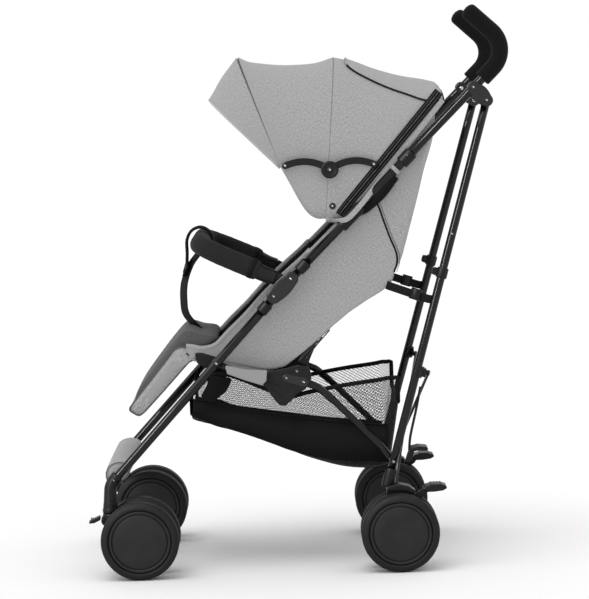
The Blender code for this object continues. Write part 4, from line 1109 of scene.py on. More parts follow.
@dataclass
class PushTube(SidePart):
    """Upper tube with its foam handle, its plastic fittings and the two oval plates."""

    tube_foot: tuple[float, float] = (0.0394, 0.542)
    knee: tuple[float, float] = (0.4831, 0.9779)
    tube_end: tuple[float, float] = (0.4105, 1.0445)
    grip_foot: tuple[float, float] = (0.4266, 0.9223)
    grip_end: tuple[float, float] = (0.3985, 1.0556)
    knee_r: float = 0.048
    plate_layer: float = 0.0089
    upper_thick: float = 0.004
    mid_thick: float = 0.005
    plate_rivet_r: float = 0.004
    small_rivet_r: float = 0.003
    sleeve_r: float = 0.0112

    def build(self) -> None:
        """Tube, handle, fittings and plates."""
        self.tube_and_handle()
        self.fittings()
        self.upper_plate()
        self.mid_plate()

    def tube_and_handle(self) -> None:
        """Painted tube, and the foam handle with a drawn-in top end and a plastic collar at its foot."""
        corners = LAYOUT.on_side([self.tube_foot, self.knee, self.tube_end])
        body = self.body("side")
        tube = self.tube("push_tube_skin", arc_path(corners, self.knee_r, 14), LAYOUT.tube_r)
        self.put(tube, BLACK_TUBE, body, (self.body("push_tube"),))
        corners = LAYOUT.on_side([self.grip_foot, self.knee, self.grip_end])
        bend = arc_path(corners, self.knee_r, 14)
        reach = np.concatenate([[0.0], np.cumsum(np.linalg.norm(np.diff(bend, axis=0), axis=1))])
        along = np.linspace(0.0, reach[-1], 90)
        line = np.column_stack([np.interp(along, reach, bend[:, k]) for k in range(3)])
        foot = np.clip(along / 0.0022, 0.0, 1.0)
        head = np.clip((along[-1] - along) / 0.012, 0.0, 1.0)
        foot_share = 0.9 + 0.1 * np.sqrt(1 - (1 - foot) ** 2)
        head_share = np.sqrt(1 - 0.93 * (1 - head) ** 2.6)
        grip = self.tube("handle_skin", line, LAYOUT.grip_r * foot_share * head_share, sides=40)
        self.put(grip, GRIP_FOAM, body, (self.body("handle_grip"),))

    def sleeve(self, name: str, start: tuple, end: tuple, radius: float) -> None:
        """Plastic sleeve around the tube between two (y, z) points, with eased rims."""
        line = LAYOUT.on_side([start, end])
        steps = np.array([0.0, 0.03, 0.1, 0.9, 0.97, 1.0])[:, None]
        path = line[0] + (line[1] - line[0]) * steps
        radii = np.array([radius - 0.0012, radius - 0.0004, radius, radius, radius - 0.0004,
                          radius - 0.0012])
        self.put(self.tube(name, path, radii), BLACK_PLASTIC, self.body("side"))

    def fittings(self) -> None:
        """Bracket for the back panel, tape, canopy clamp, sleeves of the mid plate and bumper socket."""
        self.sleeve("tube_bracket", (0.29, 0.788), (0.27, 0.7684), 0.0128)
        line = LAYOUT.on_side([(0.26, 0.759), (0.2545, 0.7536)])
        ring = self.tube("tube_tape", line, 0.0104)
        self.put(ring, GREY_CLOTH, self.body("side"))
        self.sleeve("canopy_clamp", (0.1905, 0.6894), (0.1518, 0.6514), 0.012)
        body = self.body("side")
        self.sleeve("plate_sleeve_upper", (0.069, 0.571), (0.085, 0.5868), self.sleeve_r)
        self.sleeve("plate_sleeve_lower", (0.009, 0.51), (-0.005, 0.495), self.sleeve_r)
        path = smooth_path(LAYOUT.on_side([(0.05, 0.55), (0.038, 0.553), (0.025, 0.56)]), 24)
        socket = self.tube("bumper_socket", path, np.linspace(0.0125, 0.0108, 24), flat=0.72)
        self.put(socket, BLACK_PLASTIC, body)
        self.rivet("bracket_rivet", (0.2807, 0.7822), 0.0113, self.small_rivet_r, body, 0.001)
        self.rivet("clamp_rivet", (0.1711, 0.6704), 0.0118, self.small_rivet_r, body, 0.001)

    def upper_plate(self) -> None:
        """Pair of glossy oval plates, the outer one with a raised panel, held by two rivets."""
        outline = self.oval(LAYOUT.tube_pin, LAYOUT.leg_top, 0.0118, 0.004)
        raised = self.oval(LAYOUT.tube_pin, LAYOUT.leg_top, 0.0088, 0.0032)
        low, high = self.plate_layer, self.plate_layer + self.upper_thick
        body = self.body("side")
        outer = self.flat("upper_plate_outer", outline, low, high, 0.0016)
        self.put(outer, SMOOTH_PLASTIC, body, (self.body("upper_plate"),))
        self.put(self.flat("upper_plate_panel", raised, high - 0.0004, high + 0.0007, 0.0006),
                 SMOOTH_PLASTIC, body)
        self.put(self.flat("upper_plate_back", outline, -high, -low, 0.0014), SMOOTH_PLASTIC, body)
        for index, place in enumerate((LAYOUT.tube_pin, LAYOUT.leg_top)):
            self.put(self.pin(f"upper_pin_{index}", place, -high - 0.0012, high + 0.0002, 0.0038),
                     BRIGHT_STEEL, body)
            self.rivet(f"upper_rivet_{index}", place, high + 0.0005, self.plate_rivet_r, body)

    def oval(self, a: tuple, b: tuple, radius: float, swell: float) -> Array:
        """Slot outline whose sides swell outward by the swell times a half sine from end to end."""
        outline = slot_outline(a, b, radius, radius, 20)
        start, end = outline[20], outline[21]
        along = unit(np.subtract(b, a))
        across = np.array([-along[1], along[0]])
        t = np.linspace(0.05, 0.95, 9)[:, None]
        bow = swell * np.sin(np.pi * t)
        upper = start + (end - start) * t + across * bow
        lower = outline[-1] + (outline[0] - outline[-1]) * t - across * bow
        return np.vstack([outline[:21], upper, outline[21:], lower])

    def mid_plate(self) -> None:
        """Oval plate that joins the upper and the lower tube, with a raised panel and two rivets."""
        up, down = LAYOUT.rivet_up, LAYOUT.rivet_down
        low, high = self.plate_layer, self.plate_layer + self.mid_thick
        body = self.body("side")
        plate = self.flat("mid_plate_outer", self.oval(up, down, 0.014, 0.003), low, high, 0.0022)
        self.put(plate, SMOOTH_PLASTIC, body, (self.body("mid_plate"),))
        panel = self.flat("mid_plate_panel", self.oval(up, down, 0.0106, 0.0024), high - 0.0004,
                          high + 0.0007, 0.0006)
        self.put(panel, SMOOTH_PLASTIC, body)
        for index, place in enumerate((up, down)):
            self.put(self.pin(f"mid_pin_{index}", place, -0.0056, high, 0.0035), BRIGHT_STEEL, body)
            self.rivet(f"mid_rivet_{index}", place, high + 0.0005, self.plate_rivet_r, body)


@dataclass
class FrontLeg(SidePart):
    """Lower tube, castor housing, castor fork with its axle, and the swivel lock lever."""

    leg_head: tuple[float, float] = (0.0376, 0.54)
    knee: tuple[float, float] = (-0.3005, 0.1772)
    foot: tuple[float, float] = (-0.3018, 0.145)
    pair_x: float = 0.1985
    castor_y: float = -0.302
    axle_y: float = -0.246
    axle_z: float = 0.074
    axle_reach: float = 0.0455

    def build(self) -> None:
        """Leg, housing, castor and lever."""
        body = self.body("side")
        corners = LAYOUT.on_side([self.leg_head, self.knee, self.foot])
        tube = self.tube("front_leg_skin", arc_path(corners, 0.055, 12), LAYOUT.tube_r)
        self.put(tube, BLACK_TUBE, body, (self.body("front_leg"),))
        self.housing(body)
        self.castor()
        self.lever()

    def housing(self, body: str) -> None:
        """Plastic socket that the leg stands in, flared over the castor, with a rim at its top."""
        top = LAYOUT.spot((-0.2859, 0.1935))
        knee = LAYOUT.spot(self.knee)
        foot = LAYOUT.spot_at(self.pair_x - 0.0005, (self.castor_y, 0.124))
        line = smooth_path(arc_path([top, knee, foot + [0.0, 0.0, 0.02], foot], 0.03, 8), 40)
        t = np.linspace(0.0, 1.0, 40)
        radius = np.interp(t, [0.0, 0.03, 0.08, 0.1, 0.7, 0.86, 0.94, 0.97, 1.0],
                           [0.0106, 0.012, 0.012, 0.0116, 0.0126, 0.0138, 0.0152, 0.0152, 0.0142])
        housing = self.tube("castor_socket", line, radius, sides=36)
        self.put(housing, BLACK_PLASTIC, body, (self.body("castor_housing"),))
        self.rivet("housing_rivet", (-0.2932, 0.1856), 0.0112, 0.0024, body, 0.001)

    def castor(self) -> None:
        """Castor fork: turned head, curved web with a boss, axle with bright ends."""
        body = self.body("castor")
        web = [(-0.318, 0.1205), (-0.286, 0.1205), (-0.268, 0.109), (-0.236, 0.083), (-0.233, 0.072),
               (-0.24, 0.063), (-0.254, 0.063), (-0.276, 0.072), (-0.305, 0.09), (-0.321, 0.106)]
        x = self.pair_x
        fork = self.upright("castor_fork", round_outline(web, 0.012), x - 0.0085, x + 0.0085, 0.0022)
        self.put(fork, BLACK_PLASTIC, body, (body,))
        head = [(0.01, 0.0), (0.0125, 0.0015), (0.0146, 0.006), (0.0148, 0.007), (0.0148, 0.012),
                (0.0138, 0.0132), (0.0068, 0.0135), (0.0068, 0.03)]
        centre = LAYOUT.spot_at(x, (self.castor_y, 0.11))
        self.put(self.turned("castor_head", head, centre, (0.0, 0.0, 1.0)), BLACK_PLASTIC, body)
        axle = LAYOUT.spot_at(x, (self.axle_y, self.axle_z))
        boss = [(0.01, -0.015), (0.011, -0.014), (0.011, 0.014), (0.01, 0.015)]
        self.put(self.turned("castor_boss", boss, axle, ACROSS), BLACK_PLASTIC, body)
        self.axle("front_axle", axle, self.axle_reach, body)

    def lever(self) -> None:
        """Ribbed foot lever in front of the castor."""
        body = self.body("swivel_lever")
        profile = [(-0.3222, 0.119), (-0.3215, 0.1115), (-0.333, 0.106), (-0.3425, 0.1052),
                   (-0.3432, 0.1092), (-0.335, 0.1135)]
        x = self.pair_x
        lever = self.upright("swivel_lever_pad", round_outline(profile, 0.0012), x - 0.0095, x + 0.0095,
                             0.0012)
        self.put(lever, BLACK_PLASTIC, body, (body,))
        for index, y in enumerate((-0.329, -0.332, -0.335, -0.338)):
            z = 0.1132 + (y + 0.335) * -0.29
            outline = slot_outline((y, z), (y - 0.0008, z + 0.0002), 0.0008, 0.0008, 4)
            rib = self.upright(f"lever_rib_{index}", outline, x - 0.0075, x + 0.0075, 0.0003)
            self.put(rib, BLACK_PLASTIC, body)


@dataclass
class RearLeg(SidePart):
    """Rear leg tube with its strap collar, foot housing, axle, brake pedal and slider."""

    pair_x: float = 0.2065
    axle_y: float = 0.246
    axle_z: float = 0.074
    axle_reach: float = 0.0375
    slider_s: float = 0.177
    pivot_s: float = -0.045

    def build(self) -> None:
        """Leg, collar, foot, pedal and slider."""
        self.leg()
        self.foot()
        self.pedal()
        self.slider()

    def leg(self) -> None:
        """Painted tube with a screw, and the collar that carries the recline strap's ring."""
        body = self.body("rear_leg")
        up = unit(np.subtract(LAYOUT.leg_top, LAYOUT.leg_foot))
        top = np.asarray(LAYOUT.leg_top) + up * 0.0095
        low = np.asarray(LAYOUT.leg_foot) - up * 0.04
        steps = np.linspace(0.0, 1.0, 8)[:, None]
        path = LAYOUT.on_side(low + (top - low) * steps)
        self.put(self.tube("rear_leg_skin", path, LAYOUT.leg_r), BLACK_TUBE, body, (body,))
        collar = np.array([LAYOUT.along_leg(s) for s in (0.359, 0.3596, 0.361, 0.377, 0.3784, 0.379)])
        radii = np.array([0.0098, 0.0104, 0.0108, 0.0108, 0.0104, 0.0098])
        self.put(self.tube("strap_collar", collar, radii), BLACK_PLASTIC, body)
        lug = self.leg_outline(((0.361, -0.006), (0.377, -0.006), (0.376, -0.02), (0.362, -0.02)), 0.004)
        self.put(self.flat("collar_lug", lug, -0.004, 0.004), BLACK_PLASTIC, body)
        self.rivet("leg_rivet", (0.3614, 0.6317), LAYOUT.leg_r - 0.0003, 0.003, body, 0.0008)

    def leg_outline(self, places: tuple, radius: float) -> Array:
        """Rounded outline through (distance up the leg, distance rearward) places."""
        return round_outline(np.array([LAYOUT.leg_yz(s, back) for s, back in places]), radius)

    def foot(self) -> None:
        """Foot housing: socket, hood, web between the wheels, ear of the cross bar, and the axle."""
        body = self.body("rear_leg")
        path = np.array([LAYOUT.along_leg(s) for s in (-0.05, -0.049, -0.046, -0.018, -0.015, -0.014)])
        radii = np.array([0.011, 0.0117, 0.012, 0.0118, 0.0114, 0.0104])
        socket = self.tube("rear_socket", path, radii, sides=36)
        self.put(socket, BLACK_PLASTIC, body, (self.body("rear_foot"),))
        hood = [(0.2215, 0.151), (0.224, 0.16), (0.246, 0.164), (0.264, 0.16), (0.278, 0.15),
                (0.274, 0.144), (0.26, 0.15)]
        self.put(self.upright("rear_hood", round_outline(hood, 0.006), 0.188, 0.219, 0.0022), BLACK_PLASTIC,
                 body)
        web = [(0.2215, 0.156), (0.26, 0.156), (0.272, 0.144), (0.266, 0.1), (0.26, 0.066), (0.246, 0.059),
               (0.232, 0.066), (0.224, 0.1)]
        self.put(self.upright("rear_web", round_outline(web, 0.008), 0.201, 0.212, 0.0018), BLACK_PLASTIC,
                 body)
        low, high = self.pivot_s - 0.007, self.pivot_s + 0.007
        ear = self.leg_outline(((high, 0.004), (low, 0.004), (low, 0.0125), (high, 0.0125)), 0.002)
        self.put(self.upright("brace_ear", ear, 0.1645, 0.196, 0.0008), BLACK_PLASTIC, body)
        self.axle("rear_axle", LAYOUT.spot_at(self.pair_x, (self.axle_y, self.axle_z)), self.axle_reach,
                  body)

    def pedal(self) -> None:
        """Brake pedal: a pad with softened edges on its arm, with grip ribs across the top."""
        body = self.body("brake_pedal")
        pad = [(0.2905, 0.1525), (0.296, 0.159), (0.308, 0.1625), (0.324, 0.1625), (0.335, 0.159),
               (0.3365, 0.154), (0.329, 0.15), (0.312, 0.148), (0.298, 0.148)]
        self.put(self.upright("pedal_pad", round_outline(pad, 0.005), 0.186, 0.224, 0.0038), BLACK_PLASTIC,
                 body, (body,))
        arm = [(0.279, 0.1465), (0.295, 0.1545), (0.305, 0.153), (0.296, 0.14), (0.283, 0.133),
               (0.2755, 0.136)]
        self.put(self.upright("pedal_arm", round_outline(arm, 0.003), 0.2005, 0.2125, 0.001), BLACK_PLASTIC,
                 body)
        for index, y in enumerate((0.306, 0.312, 0.318, 0.324)):
            z = 0.1622
            rib = self.upright(f"pedal_rib_{index}", slot_outline((y, z), (y + 0.0012, z), 0.001, 0.001, 4),
                               0.1885, 0.2215, 0.0004)
            self.put(rib, BLACK_PLASTIC, body)

    def slider(self) -> None:
        """Clip round the rear of the leg with the ear of the opposite cross bar."""
        body = self.body("leg_slider")
        angles = np.radians(np.linspace(-76.0, 76.0, 25))
        round_leg = np.column_stack([np.sin(angles), np.cos(angles)])
        section = np.vstack([0.0118 * round_leg, (0.0087 * round_leg)[::-1]])
        rings = np.array([[LAYOUT.along_leg(self.slider_s + s, back, w) for w, back in section]
                          for s in (-0.011, -0.0104, 0.0104, 0.011)])
        clip = grid_object(self.body("slider_clip"), mirrored(rings, self.side), Closing.AROUND, caps=True)
        self.put(clip, BLACK_PLASTIC, body, (body,))
        face = BAR_LAYERS[self.side.opposite] - 0.002 - 0.0032
        low, high = self.slider_s - 0.008, self.slider_s + 0.008
        ear = self.leg_outline(((low, 0.0095), (high, 0.0095), (high, face), (low, face)), 0.002)
        self.put(self.upright("slider_ear", ear, 0.1587, 0.188, 0.0008), BLACK_PLASTIC, body)


@dataclass
class SideLinkage(SidePart):
    """Seat rail, joint housing and rear link at the side of the seat."""

    rail_inner: float = -0.0195
    rail_outer: float = -0.0096
    link_layer: float = -0.0268

    def build(self) -> None:
        """Rail, housing and link."""
        self.rail()
        self.housing()
        self.link()

    def rail(self) -> None:
        """Flat rail with an eye on the front leg and its bright rivet."""
        body = self.body("seat_rail")
        middle = (self.rail_inner + self.rail_outer) / 2.0
        corners = LAYOUT.on_side([(-0.086, 0.3968), (-0.0369, 0.375), (0.02, 0.36)], middle)
        rail = self.tube("seat_rail_skin", smooth_path(arc_path(corners, 0.08, 8), 24), 0.0062, flat=0.72)
        self.put(rail, BLACK_TUBE, body, (body,))
        eye = self.pin("rail_eye", LAYOUT.rail_pivot, self.rail_inner, self.rail_outer, 0.0095)
        self.put(eye, BLACK_TUBE, body)
        pin = self.pin("rail_pin", LAYOUT.rail_pivot, self.rail_outer - 0.001, 0.0098, 0.0035)
        self.put(pin, BRIGHT_STEEL, body)
        self.rivet("rail_rivet", LAYOUT.rail_pivot, LAYOUT.tube_r + 0.0004, 0.004, body)

    def housing(self) -> None:
        """Joint housing with three raised ribs, a glossy arm and three rivets."""
        body = self.body("seat_rail")
        corners = [(0.0049, 0.3823), (-0.007, 0.373), (-0.0075, 0.36), (0.002, 0.346), (0.011, 0.3342),
                   (0.023, 0.318), (0.0351, 0.3142), (0.045, 0.322), (0.0587, 0.3365), (0.073, 0.344),
                   (0.085, 0.356), (0.088, 0.372), (0.083, 0.388), (0.064, 0.392), (0.04, 0.387),
                   (0.02, 0.3835)]
        outline = round_outline(corners, 0.01)
        shell = self.flat("joint_housing", outline, self.rail_inner, self.rail_outer, 0.002)
        self.put(shell, BLACK_PLASTIC, body, (self.body("side_joint"),))
        for index, points in enumerate((((0.001, 0.37), (0.018, 0.374), (0.04, 0.379), (0.074, 0.383)),
                                        ((0.009, 0.348), (0.024, 0.338), (0.037, 0.333), (0.056, 0.344)),
                                        ((0.004, 0.362), (0.02, 0.356), (0.033, 0.35), (0.052, 0.356)))):
            rib_path = smooth_path(LAYOUT.on_side(list(points), self.rail_outer), 20)
            self.put(self.tube(f"joint_rib_{index}", rib_path, 0.0009, sides=10), BLACK_PLASTIC, body)
        arm = self.flat("joint_arm", slot_outline((0.0397, 0.3678), LAYOUT.link_top, 0.0078, 0.0088),
                        self.rail_outer - 0.0004, self.rail_outer + 0.0016, 0.0008)
        self.put(arm, SMOOTH_PLASTIC, body)
        for index, place in enumerate(((0.06, 0.3805), (0.0397, 0.3678), LAYOUT.link_top)):
            lift = 0.0 if index == 0 else 0.0016
            self.rivet(f"joint_rivet_{index}", place, self.rail_outer - 0.0001 + lift, 0.0036, body, 0.0008)

    def link(self) -> None:
        """Bent tube from the housing to the rear leg with an eye at each end."""
        body = self.body("rear_link")
        corners = LAYOUT.on_side([LAYOUT.link_top, (0.0988, 0.3479), (0.127, 0.323), (0.2154, 0.2326),
                                  LAYOUT.leg_foot], self.link_layer)
        line = smooth_path(arc_path(corners, 0.03, 8), 60)
        along = np.linspace(0.0, 1.0, 60)
        radius = np.where(along < 0.3, LAYOUT.link_r + 0.0008, LAYOUT.link_r)
        tube = self.tube("rear_link_skin", line, radius)
        self.put(tube, BLACK_TUBE, body, (body,))
        inner = self.link_layer - 0.0045
        top_eye = self.pin("link_top_eye", LAYOUT.link_top, inner, self.link_layer + 0.0068, 0.009)
        self.put(top_eye, BLACK_TUBE, body)
        foot_eye = self.pin("link_foot_eye", LAYOUT.leg_foot, inner, -LAYOUT.leg_r - 0.0005, 0.0095)
        self.put(foot_eye, BLACK_TUBE, body)
        pin = self.pin("link_pin", LAYOUT.leg_foot, -LAYOUT.leg_r - 0.001, 0.0094, 0.0035)
        self.put(pin, BRIGHT_STEEL, body)
        self.rivet("link_rivet", LAYOUT.leg_foot, LAYOUT.leg_r + 0.0004, 0.004, body)


@dataclass
class CrossBar(SidePart):
    """Flat bar of the brace behind the rear legs, from this side's foot to the opposite slider."""

    foot_x: float = 0.172
    slider_x: float = 0.1667
    foot_s: float = -0.045
    slider_s: float = 0.177
    width: float = 0.012
    thick: float = 0.004

    def build(self) -> None:
        """Bar with rounded ends and a rivet at each."""
        body = self.body("cross_bar")
        layer = BAR_LAYERS[self.side]
        up = unit(np.subtract(LAYOUT.leg_top, LAYOUT.leg_foot))
        rearward = np.array([0.0, up[1], -up[0]])
        start = LAYOUT.along_leg(self.foot_s, layer)
        end = LAYOUT.along_leg(self.slider_s, layer)
        start[0], end[0] = self.foot_x, -self.slider_x
        along = unit(end - start)
        across = np.cross(along, rearward)
        turn = np.linspace(-np.pi / 2, np.pi / 2, 13)[:, None]
        outward = along * np.cos(turn) + across * np.sin(turn)
        outline = np.vstack([end + outward * self.width / 2, start - outward * self.width / 2])
        half = rearward * self.thick / 2
        low, high = (mirrored(outline + offset, self.side) for offset in (-half, half))
        self.put(plate_object(self.body("brace_bar"), low, high, 0.001), BLACK_STEEL, body, (body,))
        head = [(0.0048, 0.0), (0.0047, 0.001), (0.0038, 0.0018), (0.002, 0.0021), (0.0008, 0.0021)]
        for index, (place, reach, radius) in enumerate(((start, layer - 0.0131, 0.0042),
                                                        (end, 0.0048, 0.005))):
            profile = [(radius - 0.0004, -reach), (radius, -reach + 0.0004), (radius, 0.0),
                       (radius - 0.001, 0.0)]
            self.put(self.turned(f"brace_pin_{index}", profile, place, tuple(rearward), 24), BLACK_STEEL,
                     body)
            cap = self.turned(f"brace_rivet_{index}", head, place + half * 0.9, tuple(rearward), 24)
            self.put(cap, BRIGHT_STEEL, body)


@dataclass
class FoldPedal(SidePart):
    """Fold pedal on the left rear leg: a foot plate, its arm and the release rod."""

    def build(self) -> None:
        """Plate, arm and rod."""
        rod = LAYOUT.at(0.181, [(0.269, 0.215), (0.2693, 0.2303), (0.2724, 0.2531), (0.2839, 0.3002),
                                (0.2933, 0.344)])
        plate = [(0.269, 0.227), (0.286, 0.231), (0.302, 0.229), (0.305, 0.225), (0.302, 0.2215),
                 (0.285, 0.2225), (0.27, 0.219)]
        arm = [(0.272, 0.227), (0.279, 0.223), (0.274, 0.206), (0.266, 0.199), (0.26, 0.203), (0.266, 0.22)]
        pad = self.upright("fold_pedal_pad", round_outline(plate, 0.003), 0.15, 0.19, 0.0016)
        self.put(pad, BLACK_PLASTIC, "fold_pedal", ("fold_pedal",))
        self.put(self.upright("fold_pedal_arm", round_outline(arm, 0.003), 0.176, 0.186, 0.0014),
                 BLACK_PLASTIC, "fold_pedal")
        self.put(self.tube("release_rod", smooth_path(rod, 40), 0.0025, sides=16), BLACK_STEEL,
                 "fold_pedal")


@dataclass
class SoftPart(Assembly):
    """A sub-assembly of cloth and padding in the middle."""

    def soft(self, piece: Piece, finish: Finish, body: str, stands_for: tuple[str, ...] = (),
             fill: float | None = None) -> Piece:
        """Dress and hang a soft piece, and give it its own copy of its mesh.

        Args:
            piece: the piece.
            finish: its finish.
            body: body that it rides on.
            stands_for: CAD nodes that it replaces.
            fill: fill of its padding, or None for a piece without any; not used.

        Returns:
            The same piece.
        """
        self.put(piece, finish, body, stands_for)
        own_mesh(piece)
        return piece

    def seam(self, name: str, path: Array, radius: float | Array, finish: Finish, body: str,
             sides: int = 8) -> Piece:
        """Seam, piping or cord that lies on a soft piece along a path of world points."""
        return self.soft(tube_object(name, path, radius, sides=sides), finish, body)

    def cloth(self, piece: Piece, one_side: Array, held: str, rests_on: tuple[str, ...]) -> None:
        """Area of one side of a piece's cloth, from the grid of that side; nothing keeps it.

        Each cell counts as two triangles, each half the length of a cross product of two of its edges.

        Args:
            piece: the piece; not used.
            one_side: grid of points of one side of the cloth.
            held: how the cloth is held; not used.
            rests_on: names of what it hangs from or lies on; not used.
        """
        a, b = one_side[1:, :-1] - one_side[:-1, :-1], one_side[:-1, 1:] - one_side[:-1, :-1]
        c, d = one_side[:-1, 1:] - one_side[1:, 1:], one_side[1:, :-1] - one_side[1:, 1:]
        halves = (np.linalg.norm(np.cross(p, q), axis=-1).sum() for p, q in ((a, b), (c, d)))
        area = 0.5 * sum(halves)

    def sheet(self, name: str, surface: Array, thickness: float, finish: Finish, body: str, held: Held,
              stands_for: tuple[str, ...] = (), uv_axes: tuple[int, int] | None = None) -> None:
        """Thin closed sheet of cloth over a surface, dressed and hung as a soft piece.

        Args:
            name: name of the piece.
            surface: grid of points of its outer side.
            thickness: thickness of the cloth, positive toward the back of the surface.
            finish: its finish.
            body: body that it rides on.
            held: how it is held, and the names of what it hangs from or lies on.
            stands_for: CAD nodes that it replaces.
            uv_axes: the two coordinates that its weave follows, or None for the grid's own map.
        """
        piece = grid_object(name, sheet_grid(surface, thickness), Closing.AROUND, True, folded=True)
        if uv_axes:
            own_uv(piece, uv_axes)
        self.soft(piece, finish, body, stands_for)
        self.cloth(piece, surface, *held)


def sheet_grid(surface: Array, thickness: float) -> Array:
    """Closed section around a surface: its outer side, then its inner side backwards.

    The inner side is the outer one moved by the thickness along the inward unit normal, which is the
    cross product of the two grid directions. The rows become rings, so the ring ends close the edges.

    Args:
        surface: grid of points, rows by columns.
        thickness: thickness of the cloth, positive toward the back of the surface.

    Returns:
        Grid whose rows are closed rings around the cloth.
    """
    along = np.gradient(surface, axis=0)
    across = np.gradient(surface, axis=1)
    normal = unit(np.cross(along, across) + 1e-12)
    inner = surface - normal * thickness
    return np.concatenate([surface, inner[:, ::-1]], axis=1)


def arched_ribs(feet: Array, tops: Array, widths: Array, columns: int) -> Array:
    """Surface through arched ribs: each is a superellipse from foot to foot over the top.

    x = sign(cos a) |cos a|^(2/p) half width, rise = |sin a|^(2/p) times the way from foot to top,
    with p = ARCH_POWER.

    Args:
        feet: world (y, z) of each rib's feet.
        tops: world (y, z) of each rib's top.
        widths: half width of each rib.
        columns: points on each rib.

    Returns:
        Grid of points, ribs by columns.
    """
    t = np.linspace(-1.0, 1.0, columns)
    angle = np.pi / 2 * (1.0 - np.sign(t) * np.abs(t) ** 0.85)
    across = np.sign(np.cos(angle)) * np.abs(np.cos(angle)) ** (2.0 / ARCH_POWER)
    rise = np.abs(np.sin(angle)) ** (2.0 / ARCH_POWER)
    x = widths[:, None] * across[None, :]
    yz = feet[:, None, :] + (tops - feet)[:, None, :] * rise[None, :, None]
    return np.concatenate([x[:, :, None], yz], axis=2)


def refine_rows(rows: Array, count: int) -> Array:
    """Catmull-Rom samples of several columns of station values, evenly spaced in the station number."""
    stations = np.linspace(0.0, len(rows) - 1.0, count)
    padded = padded_knots(rows)
    index = np.minimum(stations.astype(int), len(rows) - 2)
    t = (stations - index)[:, None]
    return catmull_rom([padded[index + k] for k in range(4)], t)


